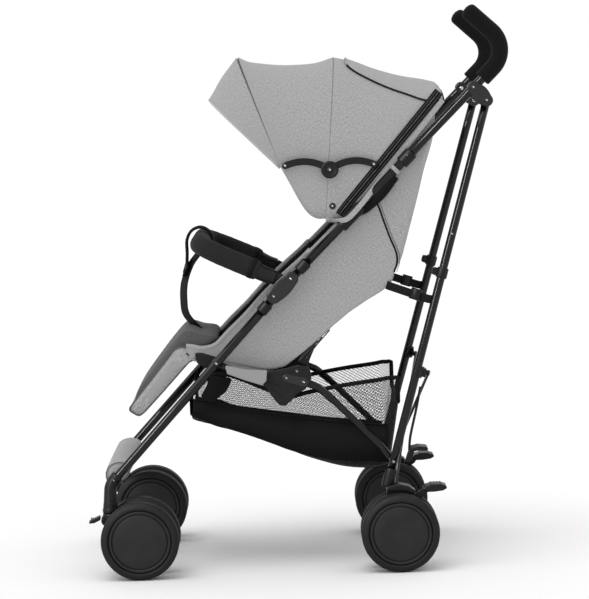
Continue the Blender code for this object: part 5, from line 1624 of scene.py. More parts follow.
@dataclass
class Canopy(SoftPart):
    """Canopy of three taut panels over bows, with its seams, rear flap, zips, borders and snaps."""

    columns: int = 121
    cloth_thick: float = 0.0016
    flap_thick: float = 0.0014
    flap_from: float = 0.1715
    flap_drop: tuple = (0.008, -0.006, 0.007, -0.0115, 0.0)
    flap_lift: float = 0.0036
    front_lift: float = 0.0016
    piping_r: float = 0.0017
    slope: tuple[float, float, float] = (0.0, 0.76, -0.65)
    zip_x: float = 0.1606
    stitch_offset: float = 0.0052
    visor: tuple = ((0.04, 0.7655, -0.0935, 0.898, 0.156), (0.0405, 0.767, -0.081, 0.917, 0.1568),
                    (0.0408, 0.768, -0.067, 0.94, 0.1575), (0.0405, 0.7695, -0.0375, 0.977, 0.1598))
    front: tuple = ((0.0402, 0.769, -0.035, 0.9775, 0.16), (0.048, 0.754, -0.0185, 0.9695, 0.1597),
                    (0.058, 0.7351, -0.001, 0.9655, 0.1594), (0.0758, 0.7004, 0.04, 0.9605, 0.1592),
                    (0.0903, 0.6791, 0.078, 0.9595, 0.1594), (0.106, 0.6685, 0.115, 0.962, 0.1597),
                    (0.124, 0.6672, 0.1495, 0.9718, 0.16))
    flap_edge: tuple = ((0.1682, 0.9573), (0.1873, 0.9415), (0.2193, 0.9233), (0.2514, 0.908),
                        (0.2837, 0.8958), (0.3127, 0.885), (0.33, 0.882), (0.35, 0.88))
    zip_line: tuple = ((0.3448, 0.9008), (0.2783, 0.8227), (0.2196, 0.7547), (0.1608, 0.6874),
                       (0.1499, 0.6735))
    hem_line: tuple = ((0.056, 0.756), (0.07, 0.729), (0.087, 0.704), (0.102, 0.687), (0.1225, 0.676))
    wrap_line: tuple = ((0.18, 0.675), (0.199, 0.688), (0.223, 0.708), (0.242, 0.729), (0.256, 0.745))
    rear: tuple = ((0.124, 0.6672, 0.15, 0.9718, 0.16), (0.14, 0.6626, 0.16, 0.9695, 0.1598),
                   (0.156, 0.662, 0.172, 0.9665, 0.1596), (0.174, 0.6735, 0.192, 0.96, 0.1595),
                   (0.205, 0.712, 0.229, 0.945, 0.159), (0.256, 0.7735, 0.275, 0.931, 0.1582),
                   (0.308, 0.836, 0.319, 0.9225, 0.1572), (0.345, 0.876, 0.34, 0.917, 0.156))

    def surface(self, stations: tuple, rows: int) -> Array:
        """Outer surface through the stations (foot y, foot z, top y, top z, half width)."""
        fine = refine_rows(np.array(stations), rows)
        fine[:, [0, 2]] += LAYOUT.shift
        return arched_ribs(fine[:, 0:2], fine[:, 2:4], fine[:, 4], self.columns)

    def panel(self, name: str, stations: tuple, rows: int, body: str) -> Array:
        """One taut panel as a closed thin sheet, stretched between the push tubes.

        Args:
            name: name of the node that it stands for.
            stations: its ribs.
            rows: rows of points from its first to its last rib.
            body: body that it rides on.

        Returns:
            Its outer surface.
        """
        surface = self.surface(stations, rows)
        held = ("stretched", ("push_tube_left", "push_tube_right"))
        self.sheet(f"{name}_cloth", surface, self.cloth_thick, GREY_CLOTH, body, held, (name,))
        return surface

    def line_on(self, surface: Array, row: int, lift: float, shorten: float = 0.0) -> Array:
        """Path over a surface along one of its rows, lifted off it, its ends cut back.

        Args:
            surface: grid of points.
            row: number of the row.
            lift: distance off the surface, away from the canopy's inside.
            shorten: share of the row that is cut off at each end.

        Returns:
            Points of the path.
        """
        across = np.gradient(surface, axis=1)
        along = np.gradient(surface, axis=0)
        normal = unit(np.cross(along, across) + 1e-12)
        cut = int(shorten * surface.shape[1])
        path = surface[row] + normal[row] * lift
        return path[cut:len(path) - cut] if cut else path

    def build(self) -> None:
        """Panels with their seams, the flap and the trims of both sides."""
        visor = self.panel("canopy_visor", self.visor, 26, "canopy_visor")
        front = self.panel("canopy_front", self.front, 56, "canopy_front")
        rear = self.panel("canopy_rear", self.rear, 64, "centre")
        seams = (("visor_edge_piping", visor, 0, -0.0004, 0.0, 0.0021, PALE_CLOTH, "canopy_visor"),
                 ("visor_hem_seam", visor, 5, 0.0001, 0.02, 0.0008, SEAM_CLOTH, "canopy_visor"),
                 ("front_bow_seam", front, 0, 0.0002, 0.0, 0.001, SEAM_CLOTH, "canopy_front"),
                 ("front_bow_welt", front, 1, 0.0001, 0.0, 0.0011, GREY_CLOTH, "canopy_front"),
                 ("mid_bow_seam", rear, 0, 0.0002, 0.0, 0.001, SEAM_CLOTH, "centre"),
                 ("mid_bow_welt", rear, 1, 0.0001, 0.0, 0.0011, GREY_CLOTH, "centre"))
        for name, surface, row, lift, shorten, radius, finish, body in seams:
            self.seam(name, self.line_on(surface, row, lift, shorten), radius, finish, body)
        self.flap_pieces()
        for side in Side:
            self.trims(side)

    def flap(self) -> Array:
        """Rear flap that lies over the top of the rear panel, lifted off it, with a drop at its back.

        Its side edges follow the flap_edge line: the rise on each rib is found there by four steps, and
        the flap takes its points between the two places where |sin a| = rise^(p/2).
        """
        fine = refine_rows(np.array(self.rear), 60)
        fine = fine[fine[:, 2] >= self.flap_from]
        back = fine[-1] + np.array(self.flap_drop)
        fine = np.vstack([fine, (fine[-1] + back) / 2 + [0.0, 0.0, 0.0015, 0.0015, 0.0], back])
        knots = smooth_path(np.array(self.flap_edge), 80)
        edge = np.full(len(fine), 0.8)
        for _ in range(4):
            y = fine[:, 0] + (fine[:, 2] - fine[:, 0]) * edge
            edge = (np.interp(y, knots[:, 0], knots[:, 1]) - fine[:, 1]) / (fine[:, 3] - fine[:, 1])
            edge = np.clip(edge, 0.25, 0.965)
        start = np.arcsin(edge ** (ARCH_POWER / 2.0))
        angle = start[:, None] + (np.pi - 2.0 * start[:, None]) * np.linspace(0.0, 1.0, 91)[None, :]
        x = fine[:, 4, None] * np.sign(np.cos(angle)) * np.abs(np.cos(angle)) ** (2.0 / ARCH_POWER)
        rise = np.sin(angle) ** (2.0 / ARCH_POWER)
        fine[:, [0, 2]] += LAYOUT.shift
        yz = fine[:, None, 0:2] + (fine[:, None, 2:4] - fine[:, None, 0:2]) * rise[:, :, None]
        surface = np.concatenate([x[:, :, None], yz], axis=2)
        normal = unit(np.cross(np.gradient(surface, axis=1), np.gradient(surface, axis=0)) + 1e-12)
        normal *= np.sign(normal[len(normal) // 2, 45, 2])
        lift = self.flap_lift + self.front_lift * np.exp(-np.arange(len(surface)) / 3.0)
        return surface + normal * lift[:, None, None]

    def flap_pieces(self) -> None:
        """Flap, with black piping on its sides and back and a grey hem at its front."""
        flap = self.flap()
        self.sheet("canopy_flap", flap, self.flap_thick, GREY_CLOTH, "centre",
                   ("draped", ("canopy_rear_cloth",)))
        for tag, rim in (("right", flap[1:, -1]), ("left", flap[1:, 0])):
            self.seam(f"canopy_flap_piping_{tag}", smooth_path(rim[::2], 140), self.piping_r, BINDING,
                      "centre")
        self.seam("canopy_flap_front_hem", flap[0], 0.0013, GREY_CLOTH, "centre")
        self.seam("canopy_flap_back_piping", smooth_path(flap[-1], 80), self.piping_r, BINDING, "centre")

    def trims(self, side: Side) -> None:
        """Zip, snap, front hem, rear border and the wrap over the push tube of one side."""
        tag = side.tag
        slope = self.slope
        path = smooth_path(LAYOUT.at(self.zip_x, self.zip_line), 90)
        self.soft(band_object(f"zip_tape_{tag}", mirrored(path, side), 0.018, 0.0018, slope), BINDING,
                  "centre")
        for label, offset, radius, finish in (("teeth", 0.0, 0.0013, SMOOTH_PLASTIC),
                                              ("stitch_up", self.stitch_offset, 0.0004, ZIP_STITCH),
                                              ("stitch_down", -self.stitch_offset, 0.0004, ZIP_STITCH)):
            shifted = mirrored(path + np.array([0.0009, offset * slope[1], offset * slope[2]]), side)
            self.seam(f"zip_{label}_{tag}", shifted, radius, finish, "centre")
        centre = mirrored(LAYOUT.spot_at(0.1604, (0.1372, 0.6909)), side)
        axis = (side.value, 0.0, 0.0)
        button = [(0.0056, 0.0), (0.0064, 0.0006), (0.0062, 0.0016), (0.004, 0.0022), (0.003, 0.0016)]
        self.soft(lathe_object(f"snap_{tag}", button, centre, axis, 32), SMOOTH_PLASTIC, "centre")
        shine = [(0.0019, 0.001), (0.0018, 0.0022), (0.001, 0.0026)]
        self.soft(lathe_object(f"snap_centre_{tag}", shine, centre, axis, 24), BRIGHT_STEEL, "centre")
        hem = mirrored(smooth_path(LAYOUT.at(0.1596, self.hem_line), 40), side)
        self.seam(f"front_hem_{tag}", hem, 0.0006, SEAM_CLOTH, "canopy_front")
        high = LAYOUT.at(0.1608, [(0.3515, 0.885), (0.307, 0.831), (0.2385, 0.749)])
        over = LAYOUT.on_side([(0.198, 0.701), (0.174, 0.6745), (0.163, 0.666), (0.151, 0.6635)], 0.0145)
        low = LAYOUT.at(0.1612, [(0.138, 0.664), (0.124, 0.668)])
        border = mirrored(smooth_path(np.vstack([high, over, low]), 120), side)
        self.soft(band_object(f"rear_border_{tag}", border, 0.01, 0.0024, slope), GREY_CLOTH, "centre")
        wrap = mirrored(smooth_path(LAYOUT.at(0.164, self.wrap_line), 30), side)
        radii = np.interp(np.linspace(0, 1, 30), [0, 0.2, 0.7, 1.0], [0.0075, 0.012, 0.0125, 0.01])
        self.seam(f"tube_wrap_{tag}", wrap, radii, BINDING, "centre", sides=20)


@dataclass
class CanopyStay(SidePart):
    """Two-armed stay on the canopy's side: arched arms, a round joint disc and a rivet at each pivot."""

    front: tuple[float, float] = (0.05, 0.77)
    middle: tuple[float, float] = (0.134, 0.76)
    rear: tuple[float, float] = (0.218, 0.768)
    rise: float = 0.0115
    half_width: float = 0.0065

    def arm(self, a: tuple[float, float], b: tuple[float, float]) -> Array:
        """Outline of an arched arm: chord plus 4 t (1 - t) times the rise, widened, with half-round ends."""
        a, b = np.asarray(a), np.asarray(b)
        chord = unit(b - a)
        up = np.array([-chord[1], chord[0]])
        t = np.linspace(0.0, 1.0, 25)[:, None]
        line = a + (b - a) * t + up * self.rise * 4.0 * t * (1.0 - t)
        slope = unit(np.gradient(line, axis=0))
        side = np.column_stack([-slope[:, 1], slope[:, 0]]) * self.half_width
        turn = np.linspace(np.pi / 2, -np.pi / 2, 11)[1:-1, None]
        far = line[-1] + np.cos(turn) * slope[-1] * self.half_width + np.sin(turn) * side[-1]
        near = line[0] - np.cos(turn) * slope[0] * self.half_width - np.sin(turn) * side[0]
        return np.vstack([line + side, far, (line - side)[::-1], near])

    def build(self) -> None:
        """Both arms, the disc, and the caps, rivets and bosses."""
        rear_body, front_body = self.body("canopy_stay_rear"), self.body("canopy_stay_front")
        rear = self.upright("stay_rear_arm", self.arm(self.middle, self.rear), 0.1642, 0.1674, 0.0008)
        self.put(rear, BLACK_PLASTIC, rear_body, (rear_body,))
        front = self.upright("stay_front_arm", self.arm(self.front, self.middle), 0.1678, 0.171, 0.0008)
        self.put(front, BLACK_PLASTIC, front_body, (front_body,))
        disc = [(0.0165, 0.0), (0.0165, 0.0014), (0.0158, 0.0022), (0.012, 0.0024), (0.0112, 0.0019),
                (0.006, 0.0019)]
        self.put(self.turned("stay_disc", disc, LAYOUT.spot_at(0.1694, self.middle), ACROSS), BLACK_PLASTIC,
                 front_body)
        cap = [(0.005, -0.001), (0.005, 0.0008), (0.004, 0.0016), (0.0014, 0.0018)]
        head = [(0.002, 0.0014), (0.0019, 0.0022), (0.001, 0.0025), (0.0007, 0.0023)]
        for label, place, x, body in (("front", self.front, 0.171, front_body),
                                      ("middle", self.middle, 0.1714, front_body),
                                      ("rear", self.rear, 0.1674, rear_body)):
            centre = LAYOUT.spot_at(x, place)
            self.put(self.turned(f"stay_cap_{label}", cap, centre, ACROSS, 28), SMOOTH_PLASTIC, body)
            self.put(self.turned(f"stay_rivet_{label}", head, centre, ACROSS, 24), BRIGHT_STEEL, body)
        boss = [(0.004, 0.0), (0.004, 0.01)]
        for label, place, x, body in (("front", self.front, 0.161, front_body),
                                      ("rear", self.rear, 0.1605, rear_body)):
            foot = LAYOUT.spot_at(x - 0.003, place)
            self.put(self.turned(f"stay_boss_{label}", boss, foot, ACROSS, 20), BLACK_PLASTIC, body)


class Facing(Enum):
    """Which way the pad of a channel looks: along is the world axis of its stations."""

    UP = (1, 2, 1.0)
    FORWARD = (2, 1, -1.0)


@dataclass
class Channel(SoftPart):
    """A padded channel: a cloth shell with side walls around a cushion.

    Each station holds its place, the pad's face, the height of the wall over it, the pad's depth and
    the crown of the cushion.
    """

    facing: Facing = Facing.UP
    half_width: float = 0.15
    wall: float = 0.006
    corner_r: float = 0.01
    strip_r: float = 0.0048
    strip_inset: float = 0.003
    binding_inset: float = 0.0085
    binding_drop: float = 0.011
    binding_wide: float = 0.026
    binding_thick: float = 0.004
    stations: tuple = ()

    def world(self, x: Array, place: Array, face: Array, height: Array) -> Array:
        """World points from across, place along the stations and height over the pad's face."""
        along, up, sign = self.facing.value
        points = np.empty((*x.shape, 3))
        points[..., 0] = x
        points[..., along] = place
        points[..., up] = face + sign * height
        points[..., 1] += LAYOUT.shift
        return points

    def shell_grid(self, rows: int) -> Array:
        """Closed section of the shell at each station: down outside, across, up, and back inside.

        The outer corners are quarter circles. The inner side is the outer one drawn in by the wall.
        """
        fine = refine_rows(np.array(self.stations), rows)
        place, face, wall, pad = (fine[:, i, None] for i in range(4))
        wide, radius = self.half_width, self.corner_r
        turn = np.linspace(0.0, np.pi / 2, 6)[None, :]
        rise = np.linspace(1.0, 0.0, 14)[None, :]
        low = -pad + 0 * turn
        down_x = np.broadcast_to(wide, (rows, 14))
        down_h = low[:, :1] + radius + (wall - low[:, :1] - radius) * rise
        bend_x = wide - radius * (1.0 - np.cos(turn)) + 0 * low
        bend_h = low + radius * (1.0 - np.sin(turn))
        flat_x = np.broadcast_to(np.linspace(wide - radius - 0.004, 0.0, 14)[None, :], (rows, 14))
        flat_h = np.broadcast_to(low[:, :1], (rows, 14))
        half_x, half_h = np.hstack([down_x, bend_x, flat_x]), np.hstack([down_h, bend_h, flat_h])
        outer_x = np.hstack([half_x, -half_x[:, -2::-1]])
        outer_h = np.hstack([half_h, half_h[:, -2::-1]])
        shrink = (wide - self.wall) / wide
        lift = self.wall * np.clip((wall - outer_h) / (wall + pad), 0.0, 1.0)
        inner_x, inner_h = outer_x[:, ::-1] * shrink, (outer_h + lift)[:, ::-1]
        x, h = np.hstack([outer_x, inner_x]), np.hstack([outer_h, inner_h])
        return self.world(x, np.broadcast_to(place, x.shape), np.broadcast_to(face, x.shape), h)

    def cushion_grid(self, rows: int) -> Array:
        """Closed section of the cushion: a superellipse between the walls whose top is crowned.

        Height is half depth times |sin a|^0.6, and the top adds (crown + 3 mm) times cos(pi x / 2 w)^0.8.
        """
        fine = refine_rows(np.array(self.stations), rows)
        place, face, _, pad, crown = (fine[:, i, None] for i in range(5))
        wide = self.half_width - self.wall - 0.0008
        angle = np.linspace(0.0, 2.0 * np.pi, 96, endpoint=False)[None, :]
        x = wide * np.sign(np.cos(angle)) * np.abs(np.cos(angle)) ** 0.4
        swing = np.sign(np.sin(angle)) * np.abs(np.sin(angle)) ** 0.6
        half = (pad - self.wall) / 2.0
        crowned = (crown + 0.003) * np.cos(np.pi * x / (2.0 * wide)) ** 0.8 * (swing > 0)
        height = -half + half * swing + np.nan_to_num(crowned)
        rows_x, place, face = (np.broadcast_to(part, height.shape) for part in (x, place, face))
        return self.world(rows_x, place, face, height)

    def shell_and_cushion(self, stem: str, shell_rows: int, cushion_rows: int) -> None:
        """Shell that stands for the node of that name, and the puffed cushion in it."""
        shell = grid_object(f"{stem}_shell", self.shell_grid(shell_rows), Closing.AROUND, caps=True)
        self.soft(shell, GREY_CLOTH, stem, (stem,), fill=0.8)
        pad = grid_object(f"{stem}_cushion", self.cushion_grid(cushion_rows), Closing.AROUND, caps=True)
        along, up, sign = self.facing.value
        free = np.zeros(3)
        free[up] = sign
        soften(pad, (0, along), free)
        self.soft(pad, LINER_CLOTH, stem, fill=0.8)

    def bound_edge(self, stem: str, body: str, edge: list, count: int, side: Side) -> None:
        """Padded strip along a wall's upper edge, and the black binding inside it.

        Args:
            stem: start of the two pieces' names.
            body: body that they ride on.
            edge: rows of drawing y and z of the edge.
            count: points along the edge.
            side: side of the wall.
        """
        line = mirrored(smooth_path(LAYOUT.at(self.half_width - self.strip_inset, edge), count), side)
        self.seam(f"{stem}_edge_strip_{side.tag}", line, self.strip_r, GREY_CLOTH, body, sides=16)
        low = smooth_path(LAYOUT.at(self.half_width - self.binding_inset, edge), count)
        low = low - [0.0, -self.binding_drop, self.binding_drop]
        band = band_object(f"{stem}_binding_{side.tag}", mirrored(low, side), self.binding_wide,
                           self.binding_thick, (0.0, -0.7, 0.7))
        self.soft(band, BINDING, body)


def soften(piece: Piece, uv_axes: tuple[int, int], face: Array) -> None:
    """Puff a closed cushion by a short cloth simulation, and keep the result as its mesh.

    The mesh is rebuilt in voxels and blown up from inside with shrunk edges. Each point then moves
    along the free face only, by no more than the cap, so none passes the shell, and one subdivision
    smooths it. The UV map is then two of the own coordinates.

    Args:
        piece: the cushion.
        uv_axes: the two coordinates that the cloth runs along.
        face: unit direction of the free face.
    """
    remesh = piece.modifiers.new("rebuild", "REMESH")
    remesh.mode, remesh.voxel_size = "VOXEL", PUFF_VOXEL
    apply_modifiers(piece)
    start = coordinates(piece.data)
    cloth = piece.modifiers.new("puff", "CLOTH")
    cloth.settings.quality = 4
    cloth.settings.use_pressure = True
    cloth.settings.uniform_pressure_force = PUFF_PRESSURE
    cloth.settings.shrink_min = -0.03
    cloth.settings.tension_stiffness = 8.0
    cloth.settings.compression_stiffness = 3.0
    cloth.settings.bending_stiffness = 0.25
    cloth.settings.effector_weights.gravity = 0.0
    cloth.collision_settings.use_collision = False
    cloth.point_cache.frame_start, cloth.point_cache.frame_end = 1, PUFF_FRAMES
    scene = bpy.context.scene
    for number in range(1, PUFF_FRAMES + 1):
        scene.frame_set(number)
    apply_modifiers(piece)
    scene.frame_set(1)
    moved = (coordinates(piece.data) - start) @ face
    kept = start + np.clip(moved, 0.0, PUFF_CAP)[:, None] * face
    piece.data.vertices.foreach_set("co", kept.ravel())
    smoothing = piece.modifiers.new("subdivide", "SUBSURF")
    smoothing.levels = smoothing.render_levels = 1
    apply_modifiers(piece)
    own_uv(piece, uv_axes)
    piece.data.polygons.foreach_set("use_smooth", np.ones(len(piece.data.polygons), bool))


def coordinates(mesh: bpy.types.Mesh) -> Array:
    """Vertex positions of a mesh as rows."""
    values = np.empty(len(mesh.vertices) * 3, dtype=np.float32)
    mesh.vertices.foreach_get("co", values)
    return values.reshape(-1, 3).astype(float)


def apply_modifiers(piece: Piece) -> None:
    """Make the piece's evaluated shape its own mesh and drop its modifiers."""
    graph = bpy.context.evaluated_depsgraph_get()
    result = bpy.data.meshes.new_from_object(piece.evaluated_get(graph), depsgraph=graph)
    old = piece.data
    piece.modifiers.clear()
    piece.data = result
    bpy.data.meshes.remove(old)


def own_uv(piece: Piece, axes: tuple[int, int]) -> None:
    """Write the UV map from two of the piece's own coordinates, in metres."""
    mesh = piece.data
    corner = np.empty(len(mesh.loops), dtype=np.int32)
    mesh.loops.foreach_get("vertex_index", corner)
    layer = mesh.uv_layers.get("cloth") or mesh.uv_layers.new(name="cloth")
    layer.data.foreach_set("uv", coordinates(mesh)[corner][:, list(axes)].ravel())


@dataclass
class Seat(Channel):
    """Seat: side walls, cushion, bound upper edges, outer side panels, and the boards under it."""

    stations: tuple = ((-0.15, 0.428, 0.004, 0.012, 0.012), (-0.14, 0.423, 0.008, 0.02, 0.02),
                       (-0.118, 0.419, 0.008, 0.022, 0.024), (-0.093, 0.409, 0.025, 0.022, 0.014),
                       (-0.068, 0.399, 0.059, 0.022, 0.009), (-0.034, 0.3935, 0.0965, 0.022, 0.008),
                       (0.003, 0.3975, 0.1315, 0.02, 0.008), (0.04, 0.4015, 0.1615, 0.012, 0.006),
                       (0.074, 0.426, 0.166, 0.011, 0.004), (0.093, 0.441, 0.169, 0.011, 0.001))
    panel_x: float = 0.1552
    panel_swell: float = 0.003
    panel_thick: float = 0.0012
    board_layers: tuple[float, float] = (-0.008, 0.0092)
    box_half: float = 0.1535
    rear_edge: tuple = ((-0.0803, 0.4021), (-0.0386, 0.3931), (0.0011, 0.3842), (0.0336, 0.387),
                        (0.0511, 0.3979), (0.0687, 0.4108), (0.0902, 0.4273), (0.1156, 0.4476),
                        (0.1313, 0.4623), (0.1547, 0.4808), (0.1781, 0.4991), (0.2032, 0.5127),
                        (0.2322, 0.53), (0.2462, 0.5447), (0.2514, 0.5617), (0.2567, 0.5803),
                        (0.2553, 0.5994), (0.2446, 0.6264), (0.2341, 0.6572), (0.2254, 0.6841),
                        (0.2182, 0.6995))
    front_edge: tuple = ((-0.0804, 0.412), (-0.0469, 0.4417), (0.0044, 0.4955), (0.0712, 0.5621),
                         (0.1302, 0.625), (0.1693, 0.66), (0.1889, 0.678), (0.2181, 0.6997))

    def side_panel(self, side: Side) -> None:
        """Smooth outer cloth of one side, from under the tube to the bend behind the back.

        Across the panel the points run from its front edge to its rear edge, and it stands out by
        panel_swell times sin(pi s) sin(pi t).
        """
        rear, front = smooth_path(np.array(self.rear_edge), 90), smooth_path(np.array(self.front_edge), 90)
        s = np.linspace(0.0, 1.0, 36)[None, :]
        t = np.linspace(0.0, 1.0, 90)[:, None]
        yz = front[:, None, :] * (1.0 - s[..., None]) + rear[:, None, :] * s[..., None]
        x = self.panel_x + self.panel_swell * np.sin(np.pi * s) * np.sin(np.pi * t)
        surface = mirrored(np.stack([x, yz[..., 0] + LAYOUT.shift, yz[..., 1]], axis=2), side)
        self.sheet(f"side_panel_{side.tag}", surface, -self.panel_thick * side.value, GREY_CLOTH, "seat",
                   ("stretched", ("seat_shell",)), uv_axes=(1, 2))

    def build(self) -> None:
        """Shell, cushion, side panels, bound edges, seams, and the boards and box under the front."""
        self.shell_and_cushion("seat", 72, 60)
        x = self.half_width
        edge = [(-0.15, 0.4315), (-0.14, 0.4305), (-0.118, 0.4265), (-0.093, 0.433), (-0.068, 0.457),
                (-0.034, 0.489), (0.003, 0.528), (0.04, 0.562), (0.074, 0.591), (0.093, 0.609)]
        boxing = [(-0.0745, 0.4021), (-0.0386, 0.3933), (0.0011, 0.3844)]
        lower = [(-0.15, 0.418), (-0.118, 0.399), (-0.09, 0.388), (-0.06, 0.3775), (-0.034, 0.3725),
                 (0.003, 0.3765), (0.04, 0.38), (0.074, 0.394)]
        for side in Side:
            self.side_panel(side)
            self.bound_edge("seat", "seat", edge, 90, side)
            seam = mirrored(smooth_path(LAYOUT.at(x, boxing), 40), side)
            self.seam(f"seat_boxing_seam_{side.tag}", seam, 0.001, SEAM_CLOTH, "seat")
            piping = mirrored(smooth_path(LAYOUT.at(x - 0.002, lower), 60), side)
            self.seam(f"seat_lower_piping_{side.tag}", piping, 0.0018, BINDING, "seat")
        box = [(-0.1345, 0.419), (-0.12, 0.4185), (-0.092, 0.409), (-0.078, 0.4), (-0.096, 0.385),
               (-0.115, 0.389), (-0.13, 0.399)]
        board = [(-0.0767, 0.3971), (-0.0391, 0.3876), (0.0036, 0.3846), (0.0013, 0.3647),
                 (-0.0072, 0.3567), (-0.0398, 0.3677), (-0.0723, 0.3804)]
        for side in Side:
            low, high = (mirrored(LAYOUT.on_side(round_outline(board, 0.003), w), side)
                         for w in self.board_layers)
            self.soft(plate_object(f"seat_board_{side.tag}", low, high, 0.002), GREY_CLOTH, "seat")
        low, high = (LAYOUT.at(side_x, round_outline(box, 0.004))
                     for side_x in (-self.box_half, self.box_half))
        self.soft(plate_object("seat_front_box", low, high, 0.002), BLACK_PLASTIC, "seat")


@dataclass
class Backrest(Channel):
    """Backrest: side wings that meet the seat's walls, cushion, bound edges, piping, wires and straps."""

    facing: Facing = Facing.FORWARD
    half_width: float = 0.154
    wire_r: float = 0.0012
    wire_out: float = 0.003
    strap_wide: float = 0.016
    strap_thick: float = 0.002
    stations: tuple = ((0.442, 0.102, 0.007, 0.006, 0.0), (0.47, 0.121, 0.03, 0.018, 0.003),
                       (0.512, 0.181, 0.084, 0.022, 0.006), (0.532, 0.212, 0.116, 0.022, 0.007),
                       (0.579, 0.24, 0.143, 0.022, 0.008), (0.61, 0.251, 0.153, 0.022, 0.008),
                       (0.645, 0.261, 0.127, 0.022, 0.008), (0.662, 0.266, 0.115, 0.022, 0.008),
                       (0.712, 0.28, 0.078, 0.022, 0.008), (0.754, 0.291, 0.047, 0.022, 0.007),
                       (0.812, 0.309, 0.012, 0.022, 0.005), (0.86, 0.321, 0.01, 0.016, 0.003),
                       (0.884, 0.334, 0.006, 0.006, 0.001))

    def build(self) -> None:
        """Shell, cushion, bound edges, piping along the bend, wires, holders and recline straps."""
        self.shell_and_cushion("backrest", 90, 80)
        x = self.half_width
        edge = [(0.086, 0.6), (0.099, 0.611), (0.1345, 0.645), (0.1515, 0.662), (0.2025, 0.712),
                (0.2445, 0.754), (0.2975, 0.812)]
        bend = [(0.2504, 0.5614), (0.2567, 0.5803), (0.2553, 0.5994), (0.2446, 0.6264), (0.2341, 0.6572),
                (0.2254, 0.6841), (0.2182, 0.6995)]
        wire = [(0.076, 0.399), (0.1, 0.428), (0.125, 0.455)]
        second = [(0.063, 0.396), (0.088, 0.42), (0.11, 0.442)]
        holder = [(0.07, 0.39), (0.08, 0.408), (0.101, 0.442)]
        strap = [(0.2358, 0.537), (0.248, 0.533), (0.3045, 0.5127), (0.32, 0.5087)]
        reach = np.array([0.156, 0.164, 0.175, 0.1785])
        strap_across = (0.0, 0.25, 1.0)
        for side in Side:
            tag = side.tag
            self.bound_edge("back", "backrest", edge, 70, side)
            self.seam(f"back_piping_{tag}", mirrored(smooth_path(LAYOUT.at(x + 0.0006, bend), 60), side),
                      0.0019, BINDING, "backrest")
            more = mirrored(smooth_path(LAYOUT.at(x + self.wire_out, second), 24), side)
            self.seam(f"back_wire_second_{tag}", more, self.wire_r, BLACK_STEEL, "backrest")
            middle = mirrored(smooth_path(LAYOUT.at(x - 0.001, holder), 24), side)
            self.soft(band_object(f"back_holder_{tag}", middle, np.linspace(0.022, 0.007, 24), 0.004,
                                  (0.0, 0.8, -0.5)), BLACK_PLASTIC, "backrest")
            stitch = smooth_path(LAYOUT.at(x + 0.0001, bend), 60) + [0.0, 0.0052, 0.0]
            self.seam(f"back_stitch_{tag}", mirrored(stitch, side), 0.0006, SEAM_CLOTH, "backrest")
            self.seam(f"back_wire_{tag}", mirrored(smooth_path(LAYOUT.at(x + self.wire_out, wire), 24),
                                                   side), 0.0012, BLACK_STEEL, "backrest")
            path = mirrored(smooth_path(LAYOUT.at(reach, strap), 40), side)
            self.soft(band_object(f"recline_strap_{tag}", path, self.strap_wide, self.strap_thick,
                                  strap_across), WEBBING, "backrest")
            buckle = mirrored(LAYOUT.at(np.array([0.17, 0.1755]), [(0.28, 0.5225), (0.298, 0.5165)]), side)
            self.soft(band_object(f"strap_buckle_{tag}", buckle, 0.022, 0.007, strap_across), BLACK_PLASTIC,
                      "backrest")


@dataclass
class Harness(SoftPart):
    """Five-point harness: shoulder pads on their straps, lap straps and the round buckle."""

    def build(self) -> None:
        """Straps, pads and buckle."""
        shoulder = [(0.264, 0.73), (0.252, 0.7), (0.2, 0.62), (0.14, 0.55), (0.1, 0.505), (0.048, 0.472)]
        reach = np.array([0.055, 0.055, 0.052, 0.043, 0.034, 0.01])
        lap = [(0.11, 0.47), (0.085, 0.462), (0.06, 0.462), (0.05, 0.466)]
        lap_reach = np.array([0.14, 0.11, 0.06, 0.016])
        wide, thick = 0.024, 0.0026
        for side in Side:
            path = mirrored(smooth_path(LAYOUT.at(reach, shoulder), 60), side)
            self.soft(band_object(f"shoulder_strap_{side.tag}", path, wide, thick), WEBBING, "backrest")
            sleeve = band_object(f"shoulder_pad_{side.tag}", path[8:38], 0.042, 0.012, bulge=0.8)
            self.soft(sleeve, PAD_CLOTH, "backrest", fill=0.7)
            path = mirrored(smooth_path(LAYOUT.at(lap_reach, lap), 30), side)
            self.soft(band_object(f"lap_strap_{side.tag}", path, wide, thick, (0.0, -0.4, 1.0)), WEBBING,
                      "backrest")
        profile = [(0.015, -0.004), (0.0225, -0.003), (0.023, 0.0), (0.0225, 0.006), (0.02, 0.009),
                   (0.011, 0.01), (0.01, 0.0085), (0.002, 0.0085)]
        buckle = lathe_object("harness_buckle", profile, LAYOUT.spot_at(0.0, (0.05, 0.465)),
                              (0.0, -0.5, 1.0), 48)
        self.soft(buckle, SMOOTH_PLASTIC, "backrest", ("harness",))


def closed_path(outline: Array | tuple, count: int) -> Array:
    """Even samples of the smooth closed line through an outline, its first point repeated at the end."""
    return smooth_path(np.vstack([outline, outline[:1]]), count)


